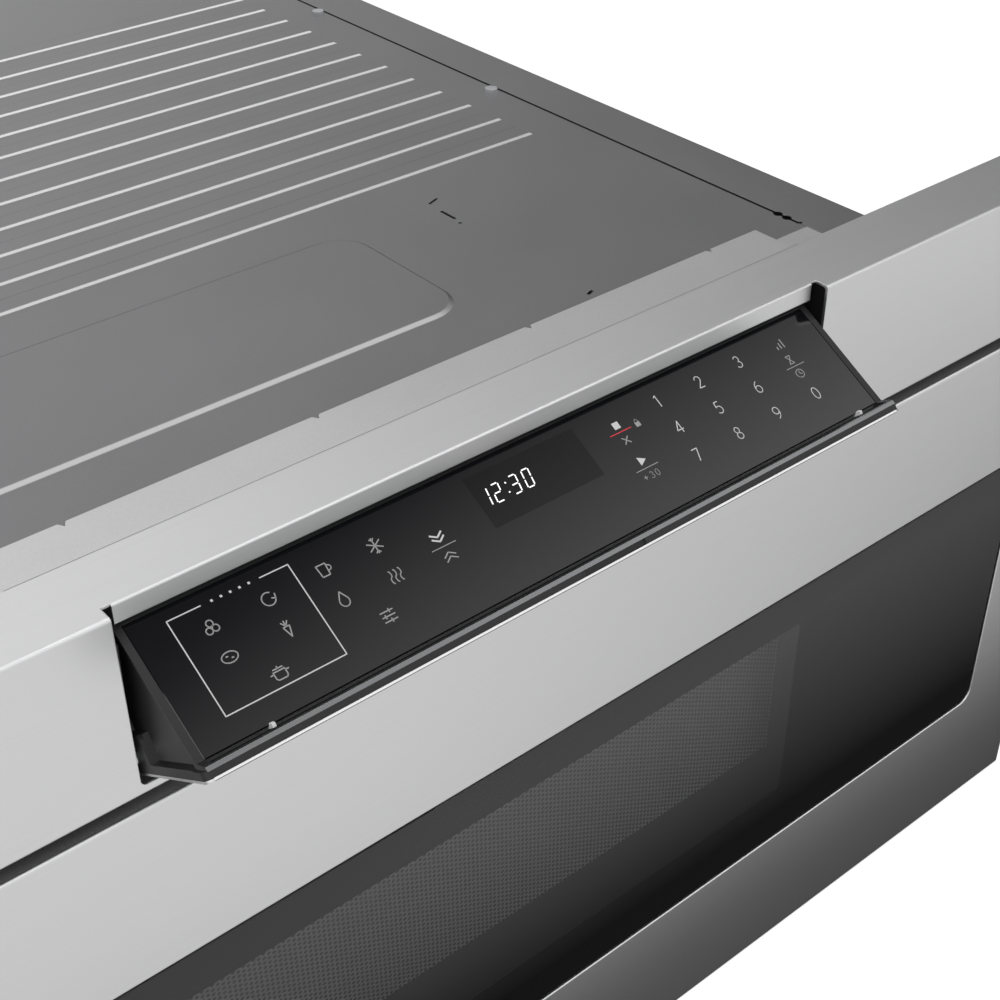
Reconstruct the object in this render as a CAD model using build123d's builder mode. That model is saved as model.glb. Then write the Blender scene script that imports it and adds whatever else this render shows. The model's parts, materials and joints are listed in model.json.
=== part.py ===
"""Built-in microwave drawer with a tilt-out control panel, in millimetres.

The origin is on the chassis floor, centred across the width, in the plane of the cabinet face:
-Y is the room, +Y goes into the cabinet, +Z is up. The drawer is stored shut and the panel open.
"""

import math
import os

from build123d import *

# Front of the appliance
front_width = 758.8
front_height = 398.7
front_depth = 32.5
front_drop = 11.2
fascia_height = 72.9
front_gap = 6.3
skin_gauge = 0.9
front_edge_radius = 1.2

# Chassis
chassis_width = 507.6
chassis_height = 367.5
chassis_depth = 585.0
chassis_gauge = 1.0
cover_gauge = 0.8
cover_seam_inset = 28.8
cover_front = 34.5
seam_gap = 0.6
apron_gap = 0.05

# Oven liner
liner_width = 447.0
liner_height = 189.2
liner_floor = 60.8
liner_depth = 440.0
liner_gauge = 0.8

# Tilt-out control panel. Its profile is drawn in the shut position.
panel_tilt = 56.0
pivot_depth = 6.5
pivot_rise = 11.2
pin_radius = 3.0
pin_clearance = 0.05
pin_bite = 4.0
panel_width = 314.0
panel_side_gap = 1.7
flange_lift = 1.5
touch_inset = 3.1
touch_gauge = 2.5
lip_reach = 56.0
lip_depth = 5.1
lip_strip = 1.4
lip_corner = 2.5
strip_corner = 1.2
scoop_low = -7.6
scoop_high = 20.5
band_setback = 5.7
band_height = 7.4
band_end_gap = 3.2
band_notch_depth = 6.5
opening_sill = 3.7
opening_corner = 2.5

# Drawer
drawer_travel = 381.0
door_depth = 28.0
window_width = 662.0
window_height = 164.6
window_rise = 78.6
window_radius = 8.0
glass_gauge = 4.0
glass_gap = 1.2
glass_sink = 0.5
mask_width = 344.0
mask_height = 107.0
mask_rise = 111.0
mask_gauge = 0.6
screen_width = 370.0
screen_height = 94.0
screen_rise = 117.0
pan_width = 436.6
pan_depth = 419.0
pan_side_height = 107.0
pan_front_height = 36.0
pan_gauge = 1.0
pan_lift = 2.2
door_gap = 2.3

# Choke round the drawer opening
choke_lap = 3.0
choke_width = 21.0
choke_depth = 14.0
choke_slot = 3.0
choke_pitch = 40.0

# Slides and drive
slide_height = 32.0
slide_thickness = 12.7
slide_rise = 3.0
slide_length = 455.0
slide_gauge = 1.2
race_gap = 1.3
running_gap = 0.3
gear_module = 1.5
pinion_teeth = 14
rack_width = 9.0
rack_pitch_height = 24.6
pinion_y = 40.0
backlash = 0.25

# Cooling fan and stirrer
fan_radius = 52.0
fan_blades = 7
stirrer_y = 215.0
stirrer_radius = 78.0
waveguide_width = 92.0
waveguide_height = 30.0
magnetron_y = 497.0

# Places that follow from the values above
front_y = -front_depth
front_bottom = -front_drop
front_top = front_bottom + front_height
fascia_bottom = front_top - fascia_height
fascia_mid = fascia_bottom + fascia_height / 2
opening_low = fascia_bottom + opening_sill
drawer_top = fascia_bottom - front_gap
front_half = front_width / 2
chassis_half = chassis_width / 2
side_inner = chassis_half - chassis_gauge
chassis_back = chassis_depth - chassis_gauge
liner_half = liner_width / 2
liner_top = liner_floor + liner_height
opening_width = panel_width + 2 * panel_side_gap
opening_half = opening_width / 2
housing_width = panel_width - 2 * flange_lift
touch_width = housing_width - 2 * touch_inset
pivot_y = front_y + pivot_depth
pivot_z = fascia_bottom + pivot_rise
cover_half = chassis_half - cover_seam_inset
door_back = front_y + door_depth
frame_gauge = 1.5
frame_front = -frame_gauge
frame_high = front_top - skin_gauge
window_bottom = front_bottom + window_rise
window_mid = window_bottom + window_height / 2
mask_mid = front_bottom + mask_rise + mask_height / 2
screen_mid = front_bottom + screen_rise + screen_height / 2
glass_face = front_y + glass_sink
glass_back = glass_face + glass_gauge
panel_plate_y = door_back - 2.0

os.makedirs("parts", exist_ok=True)


def slab(x, y, z, mode=Mode.ADD):
    """Adds or cuts a box between low and high values on each axis."""
    with Locations(((x[0] + x[1]) / 2, (y[0] + y[1]) / 2, (z[0] + z[1]) / 2)):
        Box(x[1] - x[0], y[1] - y[0], z[1] - z[0], mode=mode)


def save(part, name):
    """Labels a finished piece and writes its STEP file."""
    part.label = name
    export_step(part, f"parts/{name}.step")


# ---------------------------------------------------------------- fascia
with BuildPart() as fascia:
    with BuildSketch(Plane.XZ.offset(front_depth)):
        with Locations((0, fascia_bottom + fascia_height / 2)):
            Rectangle(front_width, fascia_height)
    extrude(amount=-front_depth)
    fillet(fascia.faces().sort_by(Axis.Y)[0].edges(), front_edge_radius)
    offset(amount=-skin_gauge, openings=fascia.faces().sort_by(Axis.Y)[-1])
    # The panel opening leaves a narrow sill below it, with round corners, and clears the lower return
    slab(
        (-opening_half, opening_half),
        (front_y, front_y + band_notch_depth),
        (fascia_mid, front_top),
        Mode.SUBTRACT,
    )
    slab((-opening_half, opening_half), (front_y, 0), (fascia_mid, front_top - 2 * skin_gauge), Mode.SUBTRACT)
    with BuildSketch(Plane.XZ.offset(front_depth)):
        with Locations((0, (opening_low + fascia_mid + 10) / 2)):
            RectangleRounded(opening_width, fascia_mid + 10 - opening_low, opening_corner)
    extrude(amount=-front_depth, mode=Mode.SUBTRACT)
    slab((-opening_half, opening_half), (front_y + 2.2, 0), (fascia_bottom, opening_low + 1), Mode.SUBTRACT)
    # The lower return stops at the mounting frame
    slab((-front_half, front_half), (frame_front, 0), (fascia_bottom, frame_high), Mode.SUBTRACT)
    # Band: the flange is bent down over the opening, between two relief notches
    band_half = opening_half - band_end_gap
    band_front = front_y + band_setback
    slab((-band_half, band_half), (band_front, band_front + skin_gauge), (front_top - band_height, front_top))
    band_edges = fascia.edges().filter_by(Axis.X).filter_by_position(Axis.X, -1, 1)
    fillet(band_edges.group_by(Axis.Z)[-1].sort_by(Axis.Y)[0], skin_gauge * 0.8)
    for side in (-1, 1):
        jamb = sorted((side * opening_half, side * (opening_half + skin_gauge)))
        slab(jamb, (front_y + 0.5, front_y + 8), (fascia_bottom + 0.5, front_top - skin_gauge))
    # The jambs clear the hinge pins
    with BuildSketch(Plane.YZ.offset(-front_half)):
        with Locations((pivot_y, pivot_z)):
            Circle(pin_radius + 1.2)
    extrude(amount=front_width, mode=Mode.SUBTRACT)
save(fascia.part, "fascia")

# ---------------------------------------------------------------- front mounting frame
frame_half = front_half - 8.4
frame_low = -5.0
pocket_half = opening_half + 10.5
pocket_floor = drawer_top + 0.4
slot_inner = chassis_half - 27.8
slot_top = slide_rise + slide_height + 0.8
screw_x = 350.0
screw_low = 40.0
screw_high = 290.0
screw_hole_radius = 2.5
hook_x = 200.0
hook_z = liner_top + choke_lap + choke_width + 11
bracket_half = 189.4
bracket_top = front_top - 10.0

with BuildPart() as front_frame:
    slab((-frame_half, frame_half), (frame_front, 0), (frame_low, frame_high))
    # Rearward apron that carries the front of the top cover
    slab(
        (-cover_half, cover_half),
        (0, cover_front - apron_gap),
        (chassis_height - chassis_gauge, chassis_height),
    )
    slab((-liner_half, liner_half), (frame_front, 0), (liner_floor, liner_top), Mode.SUBTRACT)
    slab(
        (-pocket_half, pocket_half),
        (frame_front, cover_front),
        (pocket_floor, frame_high),
        Mode.SUBTRACT,
    )
    slab(
        (-bracket_half - 0.4, bracket_half + 0.4),
        (frame_front, 0),
        (bracket_top - chassis_gauge - 0.3, frame_high),
        Mode.SUBTRACT,
    )
    for side in (-1, 1):
        slot = sorted((side * slot_inner, side * (side_inner - 0.2)))
        slab(slot, (frame_front, 0), (2.2, slot_top), Mode.SUBTRACT)
        hook_slot = sorted((side * (hook_x - 6), side * (hook_x + 6)))
        slab(hook_slot, (frame_front, 0), (hook_z - 9, hook_z + 9), Mode.SUBTRACT)
    # Ventilation slots above the drawer opening
    with BuildSketch(Plane.XZ):
        with Locations((0, hook_z)):
            with GridLocations(34, 0, 11, 1):
                Rectangle(26, 6)
    extrude(amount=frame_gauge, mode=Mode.SUBTRACT)
    # Screw holes into the cabinet face
    with BuildSketch(Plane.XZ):
        with Locations((0, (screw_low + screw_high) / 2)):
            with GridLocations(2 * screw_x, screw_high - screw_low, 2, 2):
                Circle(screw_hole_radius)
    extrude(amount=frame_gauge, mode=Mode.SUBTRACT)
save(front_frame.part, "front_frame")

# ---------------------------------------------------------------- pocket behind the control panel
bracket_back = 34.3
bracket_front = -7.0
notch_first = -141.9
notch_pitch = 100.7
pocket_wall = 1.2
pocket_back = bracket_back - chassis_gauge

with BuildPart() as pocket_cover:
    with BuildSketch(Plane.YZ.offset(-bracket_half)):
        with BuildLine():
            Polyline(
                (bracket_front, frame_high),
                (bracket_front, bracket_top - chassis_gauge),
                (bracket_back - chassis_gauge, bracket_top - chassis_gauge),
                (bracket_back - chassis_gauge, chassis_height),
                (bracket_back, chassis_height),
                (bracket_back, bracket_top),
                (bracket_front + chassis_gauge, bracket_top),
                (bracket_front + chassis_gauge, frame_high),
                close=True,
            )
        make_face()
    extrude(amount=2 * bracket_half)
    cover_edges = pocket_cover.edges().filter_by(Axis.X)
    cover_edges = cover_edges.filter_by_position(Axis.Z, bracket_top - 0.1, bracket_top + 0.1)
    fillet(cover_edges.sort_by(Axis.Y)[-1], chassis_gauge * 0.8)
    # V notches relieve the rear bend
    with BuildSketch(Plane.XY.offset(bracket_top - 3)):
        for index in range(4):
            with Locations((notch_first + index * notch_pitch, bracket_back)):
                Polygon((-2.2, 0.5), (2.2, 0.5), (0, -3.0), align=None)
    extrude(amount=4, mode=Mode.SUBTRACT)
save(pocket_cover.part, "pocket_cover")

with BuildPart() as control_pocket:
    tray_front = front_y + 8.5
    slab(
        (-pocket_half + 0.2, pocket_half - 0.2),
        (tray_front, pocket_back),
        (pocket_floor + 0.2, bracket_top - chassis_gauge),
    )
    slab(
        (-pocket_half + 0.2 + pocket_wall, pocket_half - 0.2 - pocket_wall),
        (tray_front, pocket_back - pocket_wall),
        (pocket_floor + 0.2 + pocket_wall, bracket_top),
        Mode.SUBTRACT,
    )
    slab(
        (-pocket_half, pocket_half),
        (tray_front, frame_front),
        (pocket_floor, fascia_bottom + 1.5),
        Mode.SUBTRACT,
    )
save(control_pocket.part, "control_pocket")

hinge_plate_inner = opening_half + 2.0
hinge_plate = 2.0
hinge_boss = 5.2
for side, name in ((-1, "hinge_bracket_left"), (1, "hinge_bracket_right")):
    with BuildPart() as hinge_bracket:
        plate_x = side * hinge_plate_inner if side > 0 else side * (hinge_plate_inner + hinge_plate)
        with BuildSketch(Plane.YZ.offset(plate_x)):
            with BuildLine():
                Polyline(
                    (pivot_y - hinge_boss, pivot_z),
                    (pivot_y - hinge_boss, pivot_z + 8),
                    (tray_front + 12, pivot_z + 26),
                    (frame_front - 6, pivot_z + 26),
                    (frame_front - 6, pivot_z - hinge_boss),
                    (pivot_y, pivot_z - hinge_boss),
                )
                RadiusArc((pivot_y, pivot_z - hinge_boss), (pivot_y - hinge_boss, pivot_z), hinge_boss)
            make_face()
            with Locations((pivot_y, pivot_z)):
                Circle(pin_radius + pin_clearance, mode=Mode.SUBTRACT)
        extrude(amount=hinge_plate)
        # Flange screwed to the wall of the pocket
        wall_x = sorted((side * (hinge_plate_inner + hinge_plate), side * (pocket_half - 0.2 - pocket_wall)))
        slab(wall_x, (frame_front - 8, frame_front - 6), (pivot_z - hinge_boss, pivot_z + 26))
    save(hinge_bracket.part, name)

# ---------------------------------------------------------------- chassis
ledge = 11.0
clip_holes = (46.4, 51.8)
clip_hole_radius = 1.8
for side, name in ((-1, "chassis_side_left"), (1, "chassis_side_right")):
    with BuildPart() as chassis_side:
        with BuildSketch(Plane.XZ.offset(-chassis_back)):
            with BuildLine():
                seam = cover_half + seam_gap
                step = chassis_gauge + cover_gauge - 0.8
                Polyline(
                    (side * chassis_half, 0),
                    (side * chassis_half, chassis_height),
                    (side * seam, chassis_height),
                    (side * seam, chassis_height - cover_gauge),
                    (side * (seam - ledge), chassis_height - cover_gauge),
                    (side * (seam - ledge), chassis_height - cover_gauge - chassis_gauge),
                    (side * (seam + step), chassis_height - cover_gauge - chassis_gauge),
                    (side * (seam + step), chassis_height - chassis_gauge),
                    (side * side_inner, chassis_height - chassis_gauge),
                    (side * side_inner, 2 * chassis_gauge),
                    (side * (side_inner - 20), 2 * chassis_gauge),
                    (side * (side_inner - 20), chassis_gauge),
                    (side * side_inner, chassis_gauge),
                    (side * side_inner, 0),
                    close=True,
                )
            make_face()
        extrude(amount=chassis_back)
        # The ledge under the cover starts behind the frame's apron
        slab(
            sorted((side * (seam - ledge - 1), side * seam)),
            (0, cover_front),
            (chassis_height - cover_gauge - chassis_gauge, chassis_height),
            Mode.SUBTRACT,
        )
        # Half of each clip hole on the seam
        with BuildSketch(Plane.XY.offset(chassis_height)):
            for hole_y in clip_holes:
                with Locations((side * cover_half, hole_y)):
                    Circle(clip_hole_radius)
        extrude(amount=-(cover_gauge + chassis_gauge), mode=Mode.SUBTRACT)
        # Stiffening bead along the side
        with BuildSketch(Plane.YZ.offset(side * side_inner)):
            with Locations((chassis_depth / 2, 300)):
                SlotOverall(420, 14)
        extrude(amount=-side * 2.0, taper=30)
    save(chassis_side.part, name)

pan_ribs_y = 292.5
with BuildPart() as base_pan:
    slab((-side_inner, side_inner), (0, chassis_back), (0, chassis_gauge))
    slab((-slot_inner, slot_inner), (0, chassis_gauge), (0, 14))
    # Cross ribs under the oven, raised inward
    with BuildSketch(Plane.XY.offset(chassis_gauge)):
        with Locations((0, pan_ribs_y)):
            with GridLocations(0, 90, 1, 4):
                Rectangle(300, 16)
    extrude(amount=2.5, taper=35)
    # Air intake under the fan
    with BuildSketch(Plane.XY):
        with Locations((60, chassis_back - 50)):
            with GridLocations(14, 0, 7, 1):
                Rectangle(6, 40)
    extrude(amount=chassis_gauge, mode=Mode.SUBTRACT)
save(base_pan.part, "base_pan")

fan_z = 205.0
with BuildPart() as back_panel:
    slab((-chassis_half, chassis_half), (chassis_back, chassis_depth), (0, chassis_height))
    with BuildSketch(Plane.XZ.offset(-chassis_back)):
        with Locations((0, fan_z)):
            with GridLocations(0, 14, 1, 7):
                Rectangle(96, 6)
        with Locations((-150, 250)):
            with GridLocations(0, 14, 1, 4):
                Rectangle(90, 6)
        with Locations((190, 60)):
            Circle(9)
    extrude(amount=-chassis_gauge, mode=Mode.SUBTRACT)
save(back_panel.part, "back_panel")

# ---------------------------------------------------------------- top cover
emboss_taper = 60
field_rise = 1.1
field_front = 75.5
field_back = 162.6
field_left = -190.0
field_right = 64.3
field_corner = 17.0
rib_rise = 0.8
rib_first = 199.4
rib_pitch = 24.2
rib_count = 12
rib_width = 13.2
rib_length = 400.0

with BuildPart() as top_cover:
    slab((-cover_half, cover_half), (cover_front, chassis_back), (chassis_height - cover_gauge, chassis_height))
    for level, mode in ((chassis_height, Mode.ADD), (chassis_height - cover_gauge, Mode.SUBTRACT)):
        with BuildSketch(Plane.XY.offset(level)):
            with Locations(((field_left + field_right) / 2, (field_front + field_back) / 2)):
                RectangleRounded(field_right - field_left, field_back - field_front, field_corner)
        extrude(amount=field_rise, taper=emboss_taper, mode=mode)
        with BuildSketch(Plane.XY.offset(level)):
            for rib in range(rib_count):
                with Locations((0, rib_first + rib * rib_pitch)):
                    Rectangle(rib_length, rib_width)
        extrude(amount=rib_rise, taper=emboss_taper, mode=mode)
    # Small slots and clip notches that show in the sheet
    with BuildSketch(Plane.XY.offset(chassis_height - cover_gauge)):
        with Locations((110.3, 148.5)):
            Rectangle(1.6, 11)
        with Locations((109.6, 52.0)):
            Rectangle(4, 1.6, rotation=20)
        with Locations((109.3, 138.4)):
            Circle(0.9)
        with Locations((114.0, 164.2)):
            Rectangle(7, 1.4, rotation=20)
        for side in (-1, 1):
            for hole_y in clip_holes:
                with Locations((side * cover_half, hole_y)):
                    Circle(clip_hole_radius)
            # The seam turns in at the front corner
            with Locations((side * (cover_half - 1), cover_front)):
                Rectangle(2.4, 1.0)
    extrude(amount=cover_gauge, mode=Mode.SUBTRACT)
save(top_cover.part, "top_cover")

# ---------------------------------------------------------------- oven liner
liner_flange = 6.0
stirrer_port = 80.0
with BuildPart() as oven_liner:
    slab(
        (-liner_half - liner_gauge, liner_half + liner_gauge),
        (0, liner_depth + liner_gauge),
        (liner_floor - liner_gauge, liner_top + liner_gauge),
    )
    slab(
        (-liner_half - liner_flange, liner_half + liner_flange),
        (0, liner_gauge),
        (liner_floor - liner_flange, liner_top + liner_flange),
    )
    slab((-liner_half, liner_half), (0, liner_depth), (liner_floor, liner_top), Mode.SUBTRACT)
    with BuildSketch(Plane.XY.offset(liner_top)):
        with Locations((0, stirrer_y)):
            Circle(stirrer_port)
    extrude(amount=liner_gauge, mode=Mode.SUBTRACT)
    # Lamp holes in the right wall
    with BuildSketch(Plane.YZ.offset(liner_half)):
        with Locations((300, 205)):
            with GridLocations(10, 10, 2, 2):
                Circle(2.2)
    extrude(amount=liner_gauge, mode=Mode.SUBTRACT)
save(oven_liner.part, "oven_liner")

with BuildPart() as stirrer_cover:
    with BuildSketch(Plane.XY.offset(liner_top - 1.5)):
        with Locations((0, stirrer_y)):
            RectangleRounded(196, 196, 8)
    extrude(amount=1.5)
save(stirrer_cover.part, "stirrer_cover")

lamp_y = 300.0
lamp_z = 205.0
with BuildPart() as cavity_lamp:
    lamp_wall = liner_half + liner_gauge
    slab((lamp_wall, lamp_wall + 1.0), (lamp_y - 22, lamp_y + 22), (lamp_z - 16, lamp_z + 34))
    slab((lamp_wall, lamp_wall + 1.0), (lamp_y - 15, lamp_y + 15), (lamp_z - 14, lamp_z + 14), Mode.SUBTRACT)
    slab((lamp_wall + 1.0, lamp_wall + 24), (lamp_y - 14, lamp_y + 14), (lamp_z + 20, lamp_z + 32))
    with BuildSketch(Plane.XY.offset(lamp_z + 20)):
        with Locations((lamp_wall + 13, lamp_y)):
            Circle(6)
    extrude(amount=-8)
    with BuildSketch(Plane.XY.offset(lamp_z + 12)):
        with Locations((lamp_wall + 13, lamp_y)):
            Circle(9)
    extrude(amount=-16, taper=12)
save(cavity_lamp.part, "cavity_lamp")

# ---------------------------------------------------------------- microwave source
dome_height = 22.0
dome_top = liner_top + liner_gauge + dome_height
guide_front = stirrer_y - 60
guide_back = magnetron_y + 40
guide_gauge = 1.0
guide_top = dome_top + waveguide_height
with BuildPart() as stirrer_dome:
    with BuildSketch(Plane.XY.offset(liner_top + liner_gauge)):
        with Locations((0, stirrer_y)):
            Circle(stirrer_port + 15)
    extrude(amount=guide_gauge)
    with BuildSketch(Plane.XY.offset(liner_top + liner_gauge)):
        with Locations((0, stirrer_y)):
            Circle(stirrer_port + 8)
    extrude(amount=dome_height, taper=8)
    with BuildSketch(Plane.XY.offset(liner_top + liner_gauge)):
        with Locations((0, stirrer_y)):
            Circle(stirrer_port + 7)
    extrude(amount=dome_height - guide_gauge, taper=8, mode=Mode.SUBTRACT)
    with BuildSketch(Plane.XY.offset(dome_top - guide_gauge)):
        with Locations((0, stirrer_y)):
            Circle(20)
    extrude(amount=guide_gauge, mode=Mode.SUBTRACT)
save(stirrer_dome.part, "stirrer_dome")

with BuildPart() as waveguide:
    guide_half = waveguide_width / 2
    slab((-guide_half, guide_half), (guide_front, guide_back), (dome_top, guide_top))
    slab(
        (-guide_half + guide_gauge, guide_half - guide_gauge),
        (guide_front + guide_gauge, guide_back - guide_gauge),
        (dome_top + guide_gauge, guide_top - guide_gauge),
        Mode.SUBTRACT,
    )
    with BuildSketch(Plane.XY.offset(dome_top)):
        with Locations((0, stirrer_y)):
            Circle(20)
        with Locations((0, magnetron_y)):
            Circle(13)
    extrude(amount=guide_gauge, mode=Mode.SUBTRACT)
    with BuildSketch(Plane.XY.offset(guide_top - guide_gauge)):
        with Locations((0, stirrer_y)):
            Circle(4)
    extrude(amount=guide_gauge, mode=Mode.SUBTRACT)
save(waveguide.part, "waveguide")

fin_count = 4
fin_pitch = 13.0
with BuildPart() as magnetron:
    # Yoke, anode with its cooling fins, filter box and antenna
    slab((-47, 47), (magnetron_y - 32, magnetron_y + 32), (dome_top - 3, dome_top))
    slab((-47, -45), (magnetron_y - 32, magnetron_y + 32), (dome_top - 74, dome_top))
    slab((45, 47), (magnetron_y - 32, magnetron_y + 32), (dome_top - 74, dome_top))
    slab((-47, 47), (magnetron_y - 32, magnetron_y + 32), (dome_top - 76, dome_top - 74))
    with BuildSketch(Plane.XY.offset(dome_top - 74)):
        with Locations((0, magnetron_y)):
            Circle(19)
    extrude(amount=74)
    for fin in range(fin_count):
        fin_z = dome_top - 62 + fin * fin_pitch
        slab((-45, 45), (magnetron_y - 30, magnetron_y + 30), (fin_z, fin_z + 1.0))
    with BuildSketch(Plane.XY.offset(dome_top)):
        with Locations((0, magnetron_y)):
            Circle(12)
    extrude(amount=8)
    with BuildSketch(Plane.XY.offset(dome_top + 8)):
        with Locations((0, magnetron_y)):
            Circle(8)
    extrude(amount=16)
    slab((-38, 38), (magnetron_y - 30, magnetron_y + 30), (dome_top - 98, dome_top - 76))
save(magnetron.part, "magnetron")

stirrer_shaft_radius = 2.5
with BuildPart() as stirrer_motor:
    motor_low = guide_top
    with BuildSketch(Plane.XY.offset(motor_low)):
        with Locations((0, stirrer_y)):
            Circle(24)
    extrude(amount=16)
    chamfer(stirrer_motor.faces().sort_by(Axis.Z)[-1].edges(), 2)
    with BuildSketch(Plane.XY.offset(motor_low)):
        with Locations((0, stirrer_y)):
            SlotOverall(66, 12)
    extrude(amount=1.2)
    with BuildSketch(Plane.XY.offset(motor_low)):
        with Locations((0, stirrer_y)):
            Circle(stirrer_shaft_radius + 0.05)
    extrude(amount=8, mode=Mode.SUBTRACT)
save(stirrer_motor.part, "stirrer_motor")

blade_z = liner_top + liner_gauge + 8
with BuildPart() as stirrer_blade:
    with BuildSketch(Plane.XY.offset(blade_z)):
        with Locations((0, stirrer_y)):
            Circle(16)
            with PolarLocations(44, 4):
                Rectangle(60, 26)
    extrude(amount=1.0)
    with BuildSketch(Plane.XY.offset(blade_z)):
        with Locations((0, stirrer_y)):
            Circle(6)
    extrude(amount=8)
    with BuildSketch(Plane.XY.offset(blade_z)):
        with Locations((0, stirrer_y)):
            Circle(stirrer_shaft_radius)
    extrude(amount=motor_low + 7.5 - blade_z)
save(stirrer_blade.part, "stirrer_blade")

# ---------------------------------------------------------------- power parts on the base
with BuildPart() as transformer:
    core_x = -150.0
    core_y = 520.0
    slab((core_x - 34, core_x + 34), (core_y - 46, core_y + 46), (chassis_gauge, chassis_gauge + 3))
    slab((core_x - 27, core_x + 27), (core_y - 40, core_y + 40), (chassis_gauge + 3, chassis_gauge + 71))
    chamfer(transformer.edges().filter_by(Axis.Z), 2)
    with BuildSketch(Plane.YZ.offset(core_x - 44)):
        with Locations((core_y, chassis_gauge + 37)):
            RectangleRounded(56, 42, 10)
    extrude(amount=88)
save(transformer.part, "transformer")

with BuildPart() as capacitor:
    can_x = 190.0
    can_y = 520.0
    with BuildSketch(Plane.XY.offset(chassis_gauge + 1)):
        with Locations((can_x, can_y)):
            SlotOverall(54, 32)
    extrude(amount=92)
    chamfer(capacitor.faces().sort_by(Axis.Z)[-1].edges(), 2)
    slab((can_x - 34, can_x + 34), (can_y - 12, can_y + 12), (chassis_gauge, chassis_gauge + 1))
    for terminal in (-9, 9):
        with BuildSketch(Plane.XY.offset(chassis_gauge + 93)):
            with Locations((can_x + terminal, can_y)):
                Rectangle(1, 6.3)
        extrude(amount=8)
save(capacitor.part, "capacitor")

board_z = liner_top + liner_gauge + 10
with BuildPart() as main_board:
    board_x = (-212.0, -108.0)
    board_y = (150.0, 330.0)
    slab(board_x, board_y, (board_z, board_z + 1.6))
    for post_x in (board_x[0] + 6, board_x[1] - 6):
        for post_y in (board_y[0] + 6, board_y[1] - 6):
            slab(
                (post_x - 3, post_x + 3),
                (post_y - 3, post_y + 3),
                (liner_top + liner_gauge, board_z),
            )
    for relay in range(4):
        slab((-205, -185), (160 + relay * 22, 176 + relay * 22), (board_z + 1.6, board_z + 18))
    slab((-165, -125), (170, 206), (board_z + 1.6, board_z + 26))
    slab((-160, -130), (230, 260), (board_z + 1.6, board_z + 4))
    for cap in range(3):
        with BuildSketch(Plane.XY.offset(board_z + 1.6)):
            with Locations((-190, 262 + cap * 20)):
                Circle(6)
        extrude(amount=16)
    slab((-140, -116), (285, 318), (board_z + 1.6, board_z + 11))
save(main_board.part, "main_board")

# ---------------------------------------------------------------- cooling fan
fan_back = chassis_back - 6
fan_front = fan_back - 30
with BuildPart() as fan_shroud:
    with BuildSketch(Plane.XZ.offset(-fan_back)):
        with Locations((0, fan_z)):
            RectangleRounded(124, 124, 8)
            Circle(fan_radius + 3, mode=Mode.SUBTRACT)
    extrude(amount=30)
    # Motor spider on the intake side
    with BuildSketch(Plane.XZ.offset(-fan_back)):
        with Locations((0, fan_z)):
            Circle(20)
            with PolarLocations((fan_radius + 20) / 2 + 1, 4, 45):
                Rectangle(fan_radius - 14, 5)
    extrude(amount=3)
    with BuildSketch(Plane.XZ.offset(-fan_back)):
        with Locations((0, fan_z)):
            Circle(3.05)
    extrude(amount=3, mode=Mode.SUBTRACT)
    # Legs that stand on the back panel
    for leg_x in (-56, 56):
        for leg_z in (fan_z - 56, fan_z + 56):
            with BuildSketch(Plane.XZ.offset(-chassis_back)):
                with Locations((leg_x, leg_z)):
                    Rectangle(8, 8)
            extrude(amount=6)
save(fan_shroud.part, "fan_shroud")

blade_pitch = 28.0
with BuildPart() as fan_wheel:
    with BuildSketch(Plane.XZ.offset(-fan_back + 5)):
        with Locations((0, fan_z)):
            Circle(18)
    extrude(amount=20)
    chamfer(fan_wheel.faces().sort_by(Axis.Y)[0].edges(), 3)
    with BuildSketch(Plane.XZ.offset(-fan_back)):
        with Locations((0, fan_z)):
            Circle(3)
    extrude(amount=6)
    for blade in range(fan_blades):
        angle = math.radians(blade * 360 / fan_blades)
        root = Plane(
            origin=(17 * math.cos(angle), fan_back - 15, fan_z + 17 * math.sin(angle)),
            x_dir=(
                -math.sin(angle) * math.cos(math.radians(blade_pitch)),
                math.sin(math.radians(blade_pitch)),
                math.cos(angle) * math.cos(math.radians(blade_pitch)),
            ),
            z_dir=(math.cos(angle), 0, math.sin(angle)),
        )
        with BuildSketch(root):
            Rectangle(22, 1.6)
        extrude(amount=fan_radius - 17, taper=-6)
save(fan_wheel.part, "fan_wheel")

with BuildPart() as fan_motor:
    with BuildSketch(Plane.XZ.offset(-chassis_back)):
        with Locations((0, fan_z)):
            Circle(14)
    extrude(amount=6)
    with BuildSketch(Plane.XZ.offset(-fan_back)):
        with Locations((0, fan_z)):
            Circle(3.05)
    extrude(amount=-4, mode=Mode.SUBTRACT)
save(fan_motor.part, "fan_motor")

# ---------------------------------------------------------------- power inlet
with BuildPart() as power_gland:
    with BuildSketch(Plane.XZ.offset(-chassis_depth)):
        with Locations((190, 60)):
            Circle(13)
            Circle(5, mode=Mode.SUBTRACT)
    extrude(amount=-5)
    with BuildSketch(Plane.XZ.offset(-(chassis_back - 8))):
        with Locations((190, 60)):
            Circle(8.8)
            Circle(5, mode=Mode.SUBTRACT)
    extrude(amount=-(8 + chassis_gauge))
save(power_gland.part, "power_gland")

# ---------------------------------------------------------------- interlock switches
for side, name in ((-1, "interlock_left"), (1, "interlock_right")):
    with BuildPart() as interlock:
        body = sorted((side * (hook_x - 12), side * (hook_x + 12)))
        slab(body, (0, 46), (hook_z - 13, hook_z + 13))
        slab(sorted((side * (hook_x - 5), side * (hook_x + 5))), (0, 32), (hook_z - 8, hook_z + 8), Mode.SUBTRACT)
        slab(sorted((side * (hook_x - 12), side * (hook_x + 12))), (8, 34), (hook_z + 13, hook_z + 29))
        slab(sorted((side * (hook_x - 24), side * (hook_x + 24))), (0, 2), (hook_z - 13, hook_z - 10))
    save(interlock.part, name)

# ---------------------------------------------------------------- drawer front
mid_z = (front_bottom + drawer_top) / 2
drawer_front_height = drawer_top - front_bottom
return_depth = glass_back - front_y

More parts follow.
